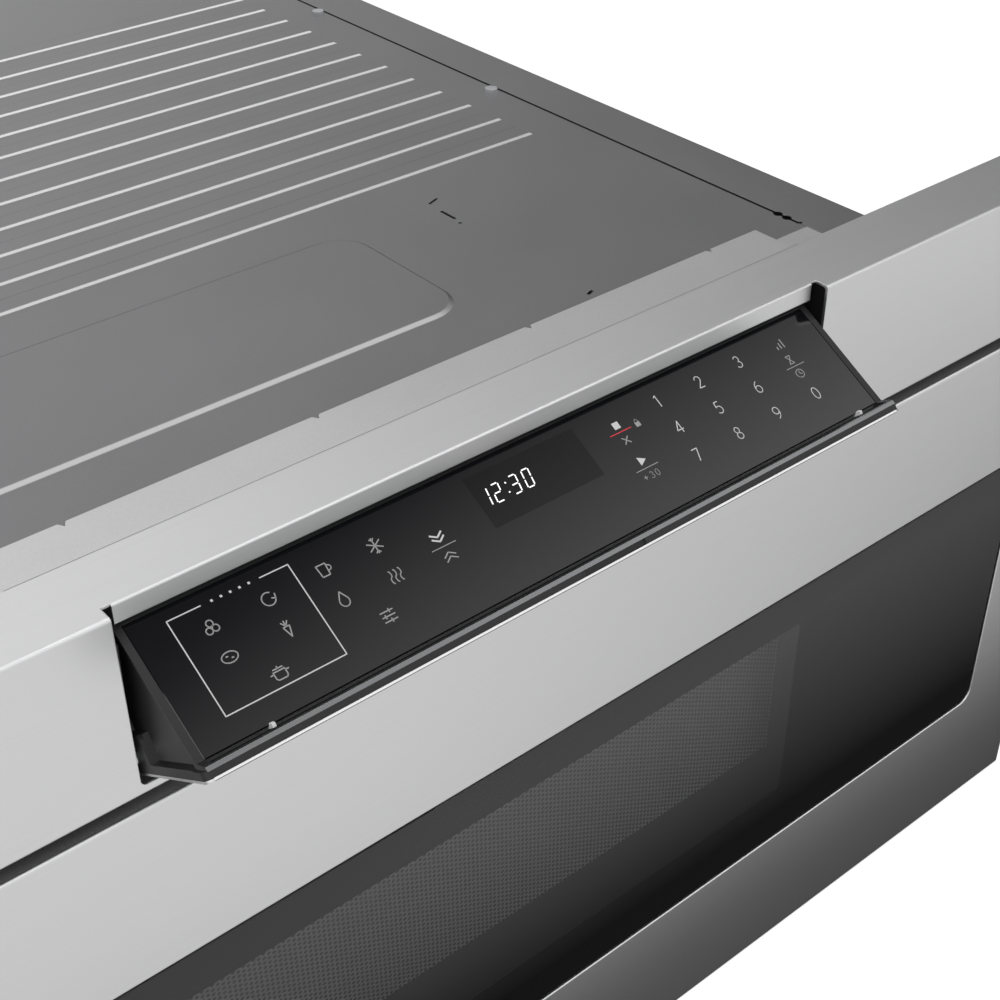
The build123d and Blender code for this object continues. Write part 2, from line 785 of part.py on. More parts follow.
with BuildPart() as drawer_skin:
    with BuildSketch(Plane.XZ.offset(front_depth)):
        with Locations((0, mid_z)):
            Rectangle(front_width, drawer_front_height)
    extrude(amount=-door_depth)
    fillet(drawer_skin.faces().sort_by(Axis.Y)[0].edges(), front_edge_radius)
    offset(amount=-skin_gauge, openings=drawer_skin.faces().sort_by(Axis.Y)[-1])
    # The top is open behind its rolled edge, for the cap
    slab(
        (-front_half + skin_gauge, front_half - skin_gauge),
        (front_y + front_edge_radius, door_back),
        (drawer_top - skin_gauge, drawer_top),
        Mode.SUBTRACT,
    )
    # Window opening with its return
    with BuildSketch(Plane.XZ.offset(front_depth)):
        with Locations((0, window_mid)):
            RectangleRounded(
                window_width + 2 * skin_gauge,
                window_height + 2 * skin_gauge,
                window_radius + skin_gauge,
            )
    extrude(amount=-return_depth)
    with BuildSketch(Plane.XZ.offset(front_depth)):
        with Locations((0, window_mid)):
            RectangleRounded(window_width, window_height, window_radius)
    extrude(amount=-return_depth, mode=Mode.SUBTRACT)
    window_rim = drawer_skin.faces().sort_by(Axis.Y)[0].inner_wires()[0].edges()
    fillet(window_rim, 0.6)
save(drawer_skin.part, "drawer_skin")

with BuildPart() as drawer_top_cap:
    cap_half = front_half - skin_gauge - 0.1
    slab(
        (-cap_half, cap_half),
        (front_y + front_edge_radius + 0.1, door_back),
        (drawer_top - 1.5, drawer_top - 0.1),
    )
    slab((-cap_half, cap_half), (door_back - 1.5, door_back), (drawer_top - 12, drawer_top - 1.5))
    for clip in range(9):
        clip_x = -320 + clip * 80
        slab((clip_x - 8, clip_x + 8), (front_y + 6, front_y + 7.2), (drawer_top - 9, drawer_top - 1.5))
save(drawer_top_cap.part, "drawer_top_cap")

with BuildPart() as window_glass:
    with BuildSketch(Plane.XZ.offset(-glass_face)):
        with Locations((0, window_mid)):
            RectangleRounded(
                window_width - 2 * glass_gap,
                window_height - 2 * glass_gap,
                window_radius - glass_gap,
            )
    extrude(amount=-glass_gauge)
    chamfer(window_glass.faces().sort_by(Axis.Y)[0].edges(), 0.4)
save(window_glass.part, "window_glass")

with BuildPart() as window_mask:
    with BuildSketch(Plane.XZ.offset(-glass_back)):
        with Locations((0, window_mid)):
            RectangleRounded(window_width + 16, window_height + 16, window_radius)
        with Locations((0, mask_mid)):
            RectangleRounded(mask_width, mask_height, 2, mode=Mode.SUBTRACT)
    extrude(amount=-mask_gauge)
save(window_mask.part, "window_mask")

# ---------------------------------------------------------------- drawer inner panel and choke
plate_half = front_half - skin_gauge - 0.1
plate_low = front_bottom + skin_gauge + 0.1
plate_high = drawer_top - 12.5
lap_half = liner_half + choke_lap
lap_low = liner_floor - choke_lap
lap_high = liner_top + choke_lap
lap_mid = (lap_low + lap_high) / 2
lap_height = lap_high - lap_low
trough_half = lap_half + choke_width
trough_height = lap_height + 2 * choke_width
panel_gauge = 1.0
trough_floor_y = panel_plate_y - choke_depth

with BuildPart() as door_inner_panel:
    slab((-plate_half, plate_half), (panel_plate_y - panel_gauge, panel_plate_y), (plate_low, plate_high))
    # Forward flange that meets the skin
    with BuildSketch(Plane.XZ.offset(-panel_plate_y)):
        with Locations((0, (plate_low + plate_high) / 2)):
            Rectangle(2 * plate_half, plate_high - plate_low)
            Rectangle(
                2 * plate_half - 2 * panel_gauge,
                plate_high - plate_low - 2 * panel_gauge,
                mode=Mode.SUBTRACT,
            )
    extrude(amount=10)
    # Choke trough pressed forward round the screen
    with BuildSketch(Plane.XZ.offset(-panel_plate_y)):
        with Locations((0, lap_mid)):
            RectangleRounded(2 * trough_half, trough_height, 14)
    extrude(amount=choke_depth)
    with BuildSketch(Plane.XZ.offset(-panel_plate_y)):
        with Locations((0, lap_mid)):
            RectangleRounded(2 * trough_half - 2 * panel_gauge, trough_height - 2 * panel_gauge, 13)
            RectangleRounded(2 * lap_half, lap_height, 8, mode=Mode.SUBTRACT)
    extrude(amount=choke_depth - panel_gauge, mode=Mode.SUBTRACT)
    with BuildSketch(Plane.XZ.offset(-panel_plate_y + panel_gauge)):
        with Locations((0, lap_mid)):
            RectangleRounded(2 * lap_half - 2 * panel_gauge, lap_height - 2 * panel_gauge, 7)
    extrude(amount=choke_depth, mode=Mode.SUBTRACT)
    # Screen field is thinned on the room side
    with BuildSketch(Plane.XZ.offset(-panel_plate_y + panel_gauge)):
        with Locations((0, screen_mid)):
            RectangleRounded(screen_width, screen_height, 8)
    extrude(amount=-0.4, mode=Mode.SUBTRACT)
save(door_inner_panel.part, "door_inner_panel")

comb_reach = 12.0
comb_front = trough_floor_y + panel_gauge + 0.2
with BuildPart() as choke_comb:
    comb_half = trough_half - panel_gauge
    comb_height = trough_height - 2 * panel_gauge
    with BuildSketch(Plane.XZ.offset(-panel_plate_y)):
        with Locations((0, lap_mid)):
            RectangleRounded(2 * comb_half, comb_height, 13)
            RectangleRounded(2 * comb_half - 1.6, comb_height - 1.6, 12.2, mode=Mode.SUBTRACT)
    extrude(amount=panel_plate_y - comb_front)
    with BuildSketch(Plane.XZ.offset(-panel_plate_y)):
        with Locations((0, lap_mid)):
            RectangleRounded(2 * comb_half, comb_height, 13)
            RectangleRounded(2 * comb_half - 2 * comb_reach, comb_height - 2 * comb_reach, 4, mode=Mode.SUBTRACT)
    extrude(amount=0.8)
    # Slots divide the lip into fingers
    with BuildSketch(Plane.XZ.offset(-panel_plate_y)):
        with Locations((0, lap_mid)):
            with GridLocations(choke_pitch, comb_height - comb_reach, int(2 * comb_half / choke_pitch) - 1, 2):
                Rectangle(choke_slot, comb_reach + 0.2)
            with GridLocations(2 * comb_half - comb_reach, choke_pitch, 2, int(comb_height / choke_pitch) - 1):
                Rectangle(comb_reach + 0.2, choke_slot)
    extrude(amount=8, mode=Mode.SUBTRACT)
save(choke_comb.part, "choke_comb")

cover_back = door_back + 0.7
with BuildPart() as choke_cover:
    with BuildSketch(Plane.XZ.offset(-cover_back)):
        with Locations((0, lap_mid)):
            RectangleRounded(2 * trough_half + 2, trough_height + 2, 15)
            RectangleRounded(2 * lap_half - 2, lap_height - 2, 7, mode=Mode.SUBTRACT)
    extrude(amount=cover_back - panel_plate_y)
save(choke_cover.part, "choke_cover")

# ---------------------------------------------------------------- food pan
pan_half = pan_width / 2
pan_front = panel_plate_y
pan_low = liner_floor + pan_lift
pan_back = pan_front + pan_gauge + pan_depth + pan_gauge
with BuildPart() as drawer_pan:
    with BuildSketch(Plane.XY.offset(pan_low)):
        with Locations((0, (pan_front + pan_back) / 2)):
            RectangleRounded(pan_width + 2 * pan_gauge, pan_back - pan_front, 12)
    extrude(amount=pan_side_height)
    fillet(drawer_pan.faces().sort_by(Axis.Z)[0].edges(), 6)
    offset(amount=-pan_gauge, openings=drawer_pan.faces().sort_by(Axis.Z)[-1])
    # The front wall is low, below the screen
    slab(
        (-pan_half - pan_gauge, pan_half + pan_gauge),
        (pan_front, pan_front + 14),
        (pan_low + pan_front_height, pan_low + pan_side_height),
        Mode.SUBTRACT,
    )
save(drawer_pan.part, "drawer_pan")

tray_gauge = 5.0
with BuildPart() as ceramic_floor:
    with BuildSketch(Plane.XY.offset(pan_low + pan_gauge)):
        with Locations((0, (pan_front + pan_back) / 2)):
            RectangleRounded(pan_width - 16, pan_depth - 16, 8)
    extrude(amount=tray_gauge)
    chamfer(ceramic_floor.faces().sort_by(Axis.Z)[-1].edges(), 1)
save(ceramic_floor.part, "ceramic_floor")

with BuildPart() as rear_glides:
    for glide_x in (-170, 170):
        slab(
            (glide_x - 14, glide_x + 14),
            (pan_back - 60, pan_back - 20),
            (liner_floor + running_gap, pan_low),
        )
save(rear_glides.part, "rear_glides")

# ---------------------------------------------------------------- slides
slide_low = slide_rise
slide_high = slide_rise + slide_height
slide_outer = side_inner
slide_inner_face = slide_outer - slide_thickness
middle_length = 439.0
inner_length = 431.0


def channel_profile(side, web_x, lip_x, low, high):
    """Corner points of a C channel whose web is at web_x and whose flanges reach lip_x."""
    web_in = web_x - math.copysign(slide_gauge, web_x - lip_x)
    return [
        (side * web_x, low),
        (side * web_x, high),
        (side * lip_x, high),
        (side * lip_x, high - slide_gauge),
        (side * web_in, high - slide_gauge),
        (side * web_in, low + slide_gauge),
        (side * lip_x, low + slide_gauge),
        (side * lip_x, low),
    ]


for side, word in ((-1, "left"), (1, "right")):
    with BuildPart() as slide_fixed:
        with BuildSketch(Plane.XZ.offset(-slide_length)):
            with BuildLine():
                Polyline(
                    *channel_profile(side, slide_outer, slide_inner_face + 1.5, slide_low, slide_high),
                    close=True,
                )
            make_face()
        extrude(amount=slide_length - 0.5)
    save(slide_fixed.part, f"slide_fixed_{word}")

    middle_low = slide_low + slide_gauge + race_gap
    middle_high = slide_high - slide_gauge - race_gap
    with BuildPart() as slide_middle:
        with BuildSketch(Plane.XZ.offset(-middle_length - 1)):
            with BuildLine():
                Polyline(
                    *channel_profile(
                        side,
                        slide_outer - slide_gauge - 1.2,
                        slide_inner_face + 1.0,
                        middle_low,
                        middle_high,
                    ),
                    close=True,
                )
            make_face()
        extrude(amount=middle_length)
        # Ball races, fixed to the flanges, with a running gap to the other two members
        for low, high in (
            (middle_low - race_gap + running_gap, middle_low),
            (middle_high, middle_high + race_gap - running_gap),
            (middle_low + slide_gauge, middle_low + slide_gauge + race_gap - running_gap),
            (middle_high - slide_gauge - race_gap + running_gap, middle_high - slide_gauge),
        ):
            race = sorted((side * (slide_inner_face + 3.4), side * (slide_inner_face + 7.0)))
            slab(race, (20, middle_length - 20), (low, high))
    save(slide_middle.part, f"slide_middle_{word}")

    inner_low = middle_low + slide_gauge + race_gap
    inner_high = middle_high - slide_gauge - race_gap
    with BuildPart() as slide_drawer:
        with BuildSketch(Plane.XZ.offset(-inner_length + 2)):
            with BuildLine():
                Polyline(
                    *channel_profile(side, slide_inner_face, slide_inner_face + 8.0, inner_low, inner_high),
                    close=True,
                )
            make_face()
        extrude(amount=inner_length)
    save(slide_drawer.part, f"slide_drawer_{word}")

    # Arm that ties the drawer front to the slide
    arm_low = slide_low + 2
    arm_high = rack_pitch_height - 2.4
    arm_gauge = 1.8
    with BuildPart() as door_arm:
        slab(
            sorted((side * (slide_inner_face - arm_gauge), side * slide_inner_face)),
            (panel_plate_y, 110),
            (arm_low, arm_high),
        )
        slab(
            sorted((side * (slide_inner_face - 26), side * slide_inner_face)),
            (panel_plate_y, panel_plate_y + arm_gauge),
            (arm_low, arm_high),
        )
    save(door_arm.part, f"door_arm_{word}")

# ---------------------------------------------------------------- drawer drive
pinion_pitch_radius = gear_module * pinion_teeth / 2
pinion_z = rack_pitch_height - pinion_pitch_radius
tooth_pitch = math.pi * gear_module
pressure_angle = math.radians(20)
rack_x = (slide_inner_face - rack_width, slide_inner_face)
rack_start = 6.0
rack_teeth = int((drawer_travel + 2 * pinion_pitch_radius + 24) / tooth_pitch)
rack_root = rack_pitch_height + 1.25 * gear_module
rack_tip = rack_pitch_height - gear_module


def rack_outline():
    """Closed outline of the toothed bar in the YZ plane, one tooth space over the pinion's centre."""
    first = pinion_y - tooth_pitch * math.ceil((pinion_y - rack_start) / tooth_pitch)
    lean_tip = gear_module * math.tan(pressure_angle)
    lean_root = 1.25 * gear_module * math.tan(pressure_angle)
    quarter = tooth_pitch / 4 - backlash / 4
    points = []
    for tooth in range(rack_teeth):
        middle = first + (tooth + 0.5) * tooth_pitch
        points += [
            (middle - quarter - lean_root, rack_root),
            (middle - quarter + lean_tip, rack_tip),
            (middle + quarter - lean_tip, rack_tip),
            (middle + quarter + lean_root, rack_root),
        ]
    start = first - 2
    end = first + rack_teeth * tooth_pitch + 2
    return [(start, rack_root)] + points + [(end, rack_root), (end, rack_root + 6), (start, rack_root + 6)]


with BuildPart() as drive_rack:
    with BuildSketch(Plane.YZ.offset(rack_x[0])):
        with BuildLine():
            Polyline(*rack_outline(), close=True)
        make_face()
    extrude(amount=rack_width)
save(drive_rack.part, "drive_rack")


def involute_tooth(teeth, module, steps=3):
    """One gear tooth about the +Y direction: involute flanks from root to tip, as (x, y) points."""
    pitch_radius = module * teeth / 2
    base_radius = pitch_radius * math.cos(pressure_angle)
    tip_radius = pitch_radius + module
    root_radius = pitch_radius - 1.25 * module
    half_angle = (math.pi / 2 - backlash / (2 * module)) / teeth
    at_pitch = math.tan(pressure_angle) - pressure_angle
    flank = []
    for step in range(steps + 1):
        radius = base_radius + (tip_radius - base_radius) * step / steps
        roll = math.acos(base_radius / radius)
        flank.append((radius, half_angle + at_pitch - (math.tan(roll) - roll)))
    right = [(root_radius - 0.2, flank[0][1])] + flank
    points = [(r * math.sin(a), r * math.cos(a)) for r, a in right]
    return points + [(-x, y) for x, y in reversed(points)]


with BuildPart() as drive_pinion:
    with BuildSketch(Plane.YZ.offset(rack_x[0] + 0.5)):
        with Locations((pinion_y, pinion_z)):
            Circle(pinion_pitch_radius - 1.25 * gear_module)
            for tooth in range(pinion_teeth):
                with Locations(Rotation(0, 0, tooth * 360 / pinion_teeth)):
                    Polygon(*involute_tooth(pinion_teeth, gear_module), align=None)
    extrude(amount=rack_width - 3)
    with BuildSketch(Plane.YZ.offset(rack_x[0] - 5)):
        with Locations((pinion_y, pinion_z)):
            Circle(3)
    extrude(amount=6)
save(drive_pinion.part, "drive_pinion")

with BuildPart() as drive_motor:
    box_x = (rack_x[0] - 35, rack_x[0] - 0.6)
    slab(box_x, (pinion_y - 16, pinion_y + 34), (chassis_gauge + 2, chassis_gauge + 32))
    fillet(drive_motor.edges().filter_by(Axis.X), 4)
    with BuildSketch(Plane.YZ.offset(box_x[0])):
        with Locations((pinion_y + 14, chassis_gauge + 17)):
            Circle(14)
    extrude(amount=-46)
    chamfer(drive_motor.faces().sort_by(Axis.X)[0].edges(), 2)
    with BuildSketch(Plane.YZ.offset(rack_x[0] - 5.5)):
        with Locations((pinion_y, pinion_z)):
            Circle(3.05)
    extrude(amount=6, mode=Mode.SUBTRACT)
save(drive_motor.part, "drive_motor")

with BuildPart() as motor_bracket:
    slab((box_x[0] - 12, box_x[1]), (pinion_y - 20, pinion_y + 50), (chassis_gauge, chassis_gauge + 2))
    slab((box_x[0], box_x[1]), (pinion_y + 34, pinion_y + 36), (chassis_gauge + 2, chassis_gauge + 28))
save(motor_bracket.part, "motor_bracket")

# ---------------------------------------------------------------- latch hooks on the drawer
with BuildPart() as latch_hooks:
    for side in (-1, 1):
        with BuildSketch(Plane.YZ.offset(side * hook_x - 2)):
            with BuildLine():
                Polyline(
                    (panel_plate_y, hook_z - 6),
                    (18, hook_z - 5),
                    (25, hook_z - 1),
                    (18, hook_z + 5),
                    (14, hook_z + 5),
                    (14, hook_z + 1),
                    (panel_plate_y, hook_z + 2),
                    close=True,
                )
            make_face()
        extrude(amount=4)
        slab(
            (side * hook_x - 8, side * hook_x + 8),
            (panel_plate_y, panel_plate_y + 1.5),
            (hook_z - 9, hook_z + 9),
        )
save(latch_hooks.part, "latch_hooks")

# ---------------------------------------------------------------- tilt-out control panel
tilt = math.radians(panel_tilt)


def panel_plane(x):
    """Plane of the panel's profile at x: local x is depth behind the pivot, local y is height along the skin."""
    return Plane(origin=(x, pivot_y, pivot_z), x_dir=(0, math.cos(tilt), math.sin(tilt)), z_dir=(1, 0, 0))


touch_low = (5.5 - pivot_depth, 49.1)
touch_high = (49.4 - pivot_depth, 27.0)
touch_length = math.hypot(touch_high[0] - touch_low[0], touch_high[1] - touch_low[1])
touch_dir = ((touch_high[0] - touch_low[0]) / touch_length, (touch_high[1] - touch_low[1]) / touch_length)
touch_normal = (-touch_dir[1], touch_dir[0])


def on_touch(along, up):
    """Point of the panel profile at a distance along the glass from its front edge and above its face."""
    return (
        touch_low[0] + along * touch_dir[0] + up * touch_normal[0],
        touch_low[1] + along * touch_dir[1] + up * touch_normal[1],
    )


skin_out = -pivot_depth
skin_in = skin_gauge - pivot_depth
lip_in = lip_depth - pivot_depth
strip_out = lip_in - lip_strip
skin_foot = -6.4
heel_out = 4.0
heel_in = 9.0
heel_low = -10.7
flange_in = -2.4
flange_high = 13.0
flange_tail = 7.7
field_rim = 1.0
field_sink = 2.0
with BuildPart() as panel_skin:
    with BuildSketch(panel_plane(-panel_width / 2)):
        with BuildLine():
            Polyline(
                (skin_out, skin_foot),
                (skin_out, lip_reach),
                (skin_in, lip_reach),
                (skin_in, skin_foot),
                (skin_out + heel_out, heel_low + skin_gauge),
                (skin_out + heel_in, heel_low + skin_gauge),
                (skin_out + heel_in, heel_low),
                (skin_out + heel_out - 0.3, heel_low),
                close=True,
            )
        make_face()
    extrude(amount=panel_width)
    # Round corners at the lip
    corner_edges = panel_skin.edges().filter_by(lambda edge: abs(edge.length - skin_gauge) < 0.01)
    fillet(corner_edges.sort_by(Axis.Y)[:2], lip_corner)
save(panel_skin.part, "panel_skin")

with BuildPart() as panel_housing:
    with BuildSketch(panel_plane(-housing_width / 2)):
        with BuildLine():
            Polyline(
                (skin_in, skin_foot + 0.4),
                (skin_in, lip_reach - 0.4),
                (strip_out, lip_reach - 0.4),
                (strip_out, lip_reach - 2.0),
                (lip_in, lip_reach - 2.0),
                (lip_in - 0.7, 49.5),
                (lip_in - 1.2, 46.9),
                on_touch(0.6, -touch_gauge - 0.6),
                on_touch(1.5, -touch_gauge),
                on_touch(touch_length, -touch_gauge),
                on_touch(touch_length, 0.2),
                on_touch(touch_length + 1.6, 0.2),
                on_touch(touch_length + 1.6, -4.5),
                (skin_out + 13.0, -6.4),
                (skin_out + heel_in, heel_low + skin_gauge + 0.1),
                (skin_out + heel_out + 0.4, heel_low + skin_gauge + 0.1),
                close=True,
            )
        make_face()
    extrude(amount=housing_width)
    # Cheeks stand up to the face of the glass at both ends
    cheek = touch_inset - 0.3
    for low in (-housing_width / 2, housing_width / 2 - cheek):
        with BuildSketch(panel_plane(low)):
            with BuildLine():
                Polyline(
                    (lip_in, lip_reach - 0.8),
                    on_touch(0, 0.2),
                    on_touch(touch_length, 0.2),
                    on_touch(touch_length, -touch_gauge),
                    on_touch(0, -touch_gauge - 1),
                    (strip_out, 46.9),
                    (strip_out, lip_reach - 2.0),
                    (lip_in, lip_reach - 2.0),
                    close=True,
                )
            make_face()
        extrude(amount=cheek)
    # Recessed field on each side, with a raised L-shaped flange along the skin and below it
    for low, direction in ((-housing_width / 2, 1), (housing_width / 2, -1)):
        with BuildSketch(panel_plane(low)):
            with BuildLine():
                Polyline(
                    (flange_in, flange_high),
                    (flange_in, 47.0),
                    on_touch(2.0, -field_rim),
                    on_touch(touch_length - 6, -field_rim),
                    (39.0, 21.0),
                    (13.0, 1.5),
                    (flange_tail, 1.5),
                    (flange_tail, flange_high),
                    close=True,
                )
            make_face()
        extrude(amount=direction * field_sink, mode=Mode.SUBTRACT)
        with BuildSketch(panel_plane(low)):
            with BuildLine():
                Polyline(
                    (skin_in, skin_foot + 0.4),
                    (skin_in, lip_reach - 0.4),
                    (strip_out, lip_reach - 0.4),
                    (strip_out, 50.0),
                    (flange_in, 47.0),
                    (flange_in, flange_high),
                    (flange_tail - 1.5, flange_high),
                    (flange_tail, flange_high - 1.5),
                    (flange_tail, 7.0),
                    (3.5, -5.0),
                    (-2.0, -8.0),
                    close=True,
                )
            make_face()
        extrude(amount=-direction * flange_lift)
    # Round corners at the lip, in line with those of the skin
    lip_corners = panel_housing.edges().filter_by(lambda edge: abs(edge.length - strip_out + skin_in) < 0.01)
    outer_corners = lip_corners.filter_by(lambda edge: abs(abs(edge.center().X) - panel_width / 2) < 0.01)
    fillet(outer_corners.group_by(Axis.Y)[0], lip_corner)
    # Hollow for the circuit board, open at the rear
    with BuildSketch(panel_plane(-housing_width / 2 + 6)):
        with BuildLine():
            Polyline(
                (skin_in + 2.4, 9),
                (skin_in + 2.4, 42),
                on_touch(5, -5.2),
                on_touch(touch_length - 3, -5.2),
                on_touch(touch_length + 3, -8.5),
                (9.0, 2.0),
                close=True,
            )
        make_face()
    extrude(amount=housing_width - 12, mode=Mode.SUBTRACT)
    # Blind holes for the hinge pins
    for side in (-1, 1):
        with BuildSketch(Plane.YZ.offset(side * panel_width / 2)):
            with Locations((pivot_y, pivot_z)):
                Circle(pin_radius)
        extrude(amount=-side * (pin_bite + flange_lift), mode=Mode.SUBTRACT)
    # Finger scoop in the lip
    with BuildSketch(panel_plane(scoop_low)):
        with BuildLine():
            Polyline(
                (skin_in, lip_reach),
                (strip_out, lip_reach),
                (strip_out, lip_reach - 1.2),
                (skin_in, lip_reach - 2.2),
                close=True,
            )
        make_face()
    extrude(amount=scoop_high - scoop_low, mode=Mode.SUBTRACT)
save(panel_housing.part, "panel_housing")

with BuildPart() as panel_strip:
    with BuildSketch(panel_plane(-housing_width / 2)):
        with BuildLine():
            Polyline(
                (strip_out, lip_reach - 2.0),
                (strip_out, lip_reach - 0.3),
                (lip_in, lip_reach - 0.6),
                (lip_in, lip_reach - 2.0),
                close=True,
            )
        make_face()
    extrude(amount=housing_width)
    strip_ends = panel_strip.edges().filter_by(lambda edge: abs(abs(edge.center().X) - housing_width / 2) < 0.01)
    fillet(strip_ends.group_by(Axis.Y)[0], strip_corner)
save(panel_strip.part, "panel_strip")

with BuildPart() as touch_glass:
    with BuildSketch(panel_plane(-touch_width / 2)):
        with BuildLine():
            Polyline(
                on_touch(0, 0),
                on_touch(touch_length - 0.2, 0),
                on_touch(touch_length - 0.2, -touch_gauge),
                on_touch(0, -touch_gauge),
                close=True,
            )
        make_face()
    extrude(amount=touch_width)
    front_edges = touch_glass.edges().filter_by(Axis.X)
    chamfer(min(front_edges, key=lambda edge: edge.center().Y - edge.center().Z), 0.4)
save(touch_glass.part, "touch_glass")

with BuildPart() as panel_bumpers:
    for bumper_x in (-touch_width / 2 + 23.9, touch_width / 2 - 7.7):
        with BuildSketch(panel_plane(bumper_x - 2)):
            with BuildLine():
                Polyline(
                    on_touch(-0.2, -touch_gauge),
                    on_touch(-0.2, 0.6),
                    (lip_in + 0.05, lip_reach - 3.2),
                    (lip_in - 0.45, 50.0),
                    (lip_in - 0.9, 47.6),
                    close=True,
                )
            make_face()
        extrude(amount=4)
save(panel_bumpers.part, "panel_bumpers")

with BuildPart() as display_board:
    with BuildSketch(panel_plane(-housing_width / 2 + 10)):
        with BuildLine():
            Polyline(
                on_touch(7, -5.2),
                on_touch(7, -6.8),
                on_touch(touch_length - 6, -6.8),
                on_touch(touch_length - 6, -5.2),
                close=True,
            )
        make_face()
    extrude(amount=housing_width - 20)
    with BuildSketch(panel_plane(-20)):
        with BuildLine():
            Polyline(
                on_touch(12, -6.8),
                on_touch(12, -10.0),
                on_touch(22, -10.0),
                on_touch(22, -6.8),
                close=True,
            )
        make_face()
    extrude(amount=40)
save(display_board.part, "display_board")

with BuildPart() as hinge_pins:
    for low in (-housing_width / 2 - 8.5, housing_width / 2 - pin_bite):
        with BuildSketch(Plane.YZ.offset(low)):
            with Locations((pivot_y, pivot_z)):
                Circle(pin_radius)
        extrude(amount=8.5 + pin_bite)
save(hinge_pins.part, "hinge_pins")

# ---------------------------------------------------------------- screws
screw_head_radius = 3.6
with BuildPart() as cover_screws:
    for side in (-1, 1):
        for screw_y in (250.0, 410.0, 565.0):
            with BuildSketch(Plane.XY.offset(chassis_height)):
                with Locations((side * (cover_half - 5), screw_y)):
                    RegularPolygon(screw_head_radius, 6)
            extrude(amount=2.0)
save(cover_screws.part, "cover_screws")
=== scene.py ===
"""Looks of the built-in microwave drawer: its finishes, the print on the touch glass and a plain studio.

Lengths are in millimetres and become metres where a mesh or a node takes them, but most of the studio's are
in metres.
"""

from __future__ import annotations

import json
import logging
import math
from dataclasses import dataclass, field
from enum import Enum

import bmesh
import bpy
from mathutils import Matrix, Vector

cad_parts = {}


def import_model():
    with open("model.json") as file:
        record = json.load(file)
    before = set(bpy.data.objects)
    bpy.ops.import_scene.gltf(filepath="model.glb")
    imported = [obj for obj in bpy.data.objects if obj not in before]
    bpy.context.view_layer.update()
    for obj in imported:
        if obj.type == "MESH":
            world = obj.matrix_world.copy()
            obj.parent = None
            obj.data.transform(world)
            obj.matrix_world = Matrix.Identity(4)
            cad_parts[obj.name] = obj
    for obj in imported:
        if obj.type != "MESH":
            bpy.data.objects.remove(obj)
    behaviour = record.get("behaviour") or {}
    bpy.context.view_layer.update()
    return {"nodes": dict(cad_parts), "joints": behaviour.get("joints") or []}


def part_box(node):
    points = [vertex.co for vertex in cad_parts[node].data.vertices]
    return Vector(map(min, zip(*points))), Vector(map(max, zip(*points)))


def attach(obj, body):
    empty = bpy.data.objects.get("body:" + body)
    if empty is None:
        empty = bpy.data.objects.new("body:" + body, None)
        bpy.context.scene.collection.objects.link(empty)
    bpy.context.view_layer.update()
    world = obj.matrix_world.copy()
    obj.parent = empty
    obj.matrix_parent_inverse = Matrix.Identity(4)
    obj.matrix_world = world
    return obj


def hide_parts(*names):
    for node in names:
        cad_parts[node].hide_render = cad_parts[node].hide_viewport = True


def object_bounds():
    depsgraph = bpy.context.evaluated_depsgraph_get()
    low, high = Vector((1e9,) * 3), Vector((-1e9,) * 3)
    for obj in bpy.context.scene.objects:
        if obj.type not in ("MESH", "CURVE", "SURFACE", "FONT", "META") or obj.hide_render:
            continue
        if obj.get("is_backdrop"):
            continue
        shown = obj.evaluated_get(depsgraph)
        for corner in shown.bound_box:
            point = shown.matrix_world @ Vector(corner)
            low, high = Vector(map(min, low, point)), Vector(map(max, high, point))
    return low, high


LOG = logging.getLogger("microwave_drawer")
MM = 0.001

Colour = tuple[float, float, float, float]
Point = tuple[float, float]
Place = tuple[float, float, float]
Path = tuple[Point, ...]
Ramp = tuple[float, float, float, float]
Tree = bpy.types.NodeTree
Node = bpy.types.Node
Socket = bpy.types.NodeSocket
Value = Socket | float
Paint = Socket | Colour
Piece = bpy.types.Object
Build = bmesh.types.BMesh


def grey(value: float) -> Colour:
    """Returns the neutral colour of a linear brightness from 0 to 1."""
    return (value, value, value, 1.0)


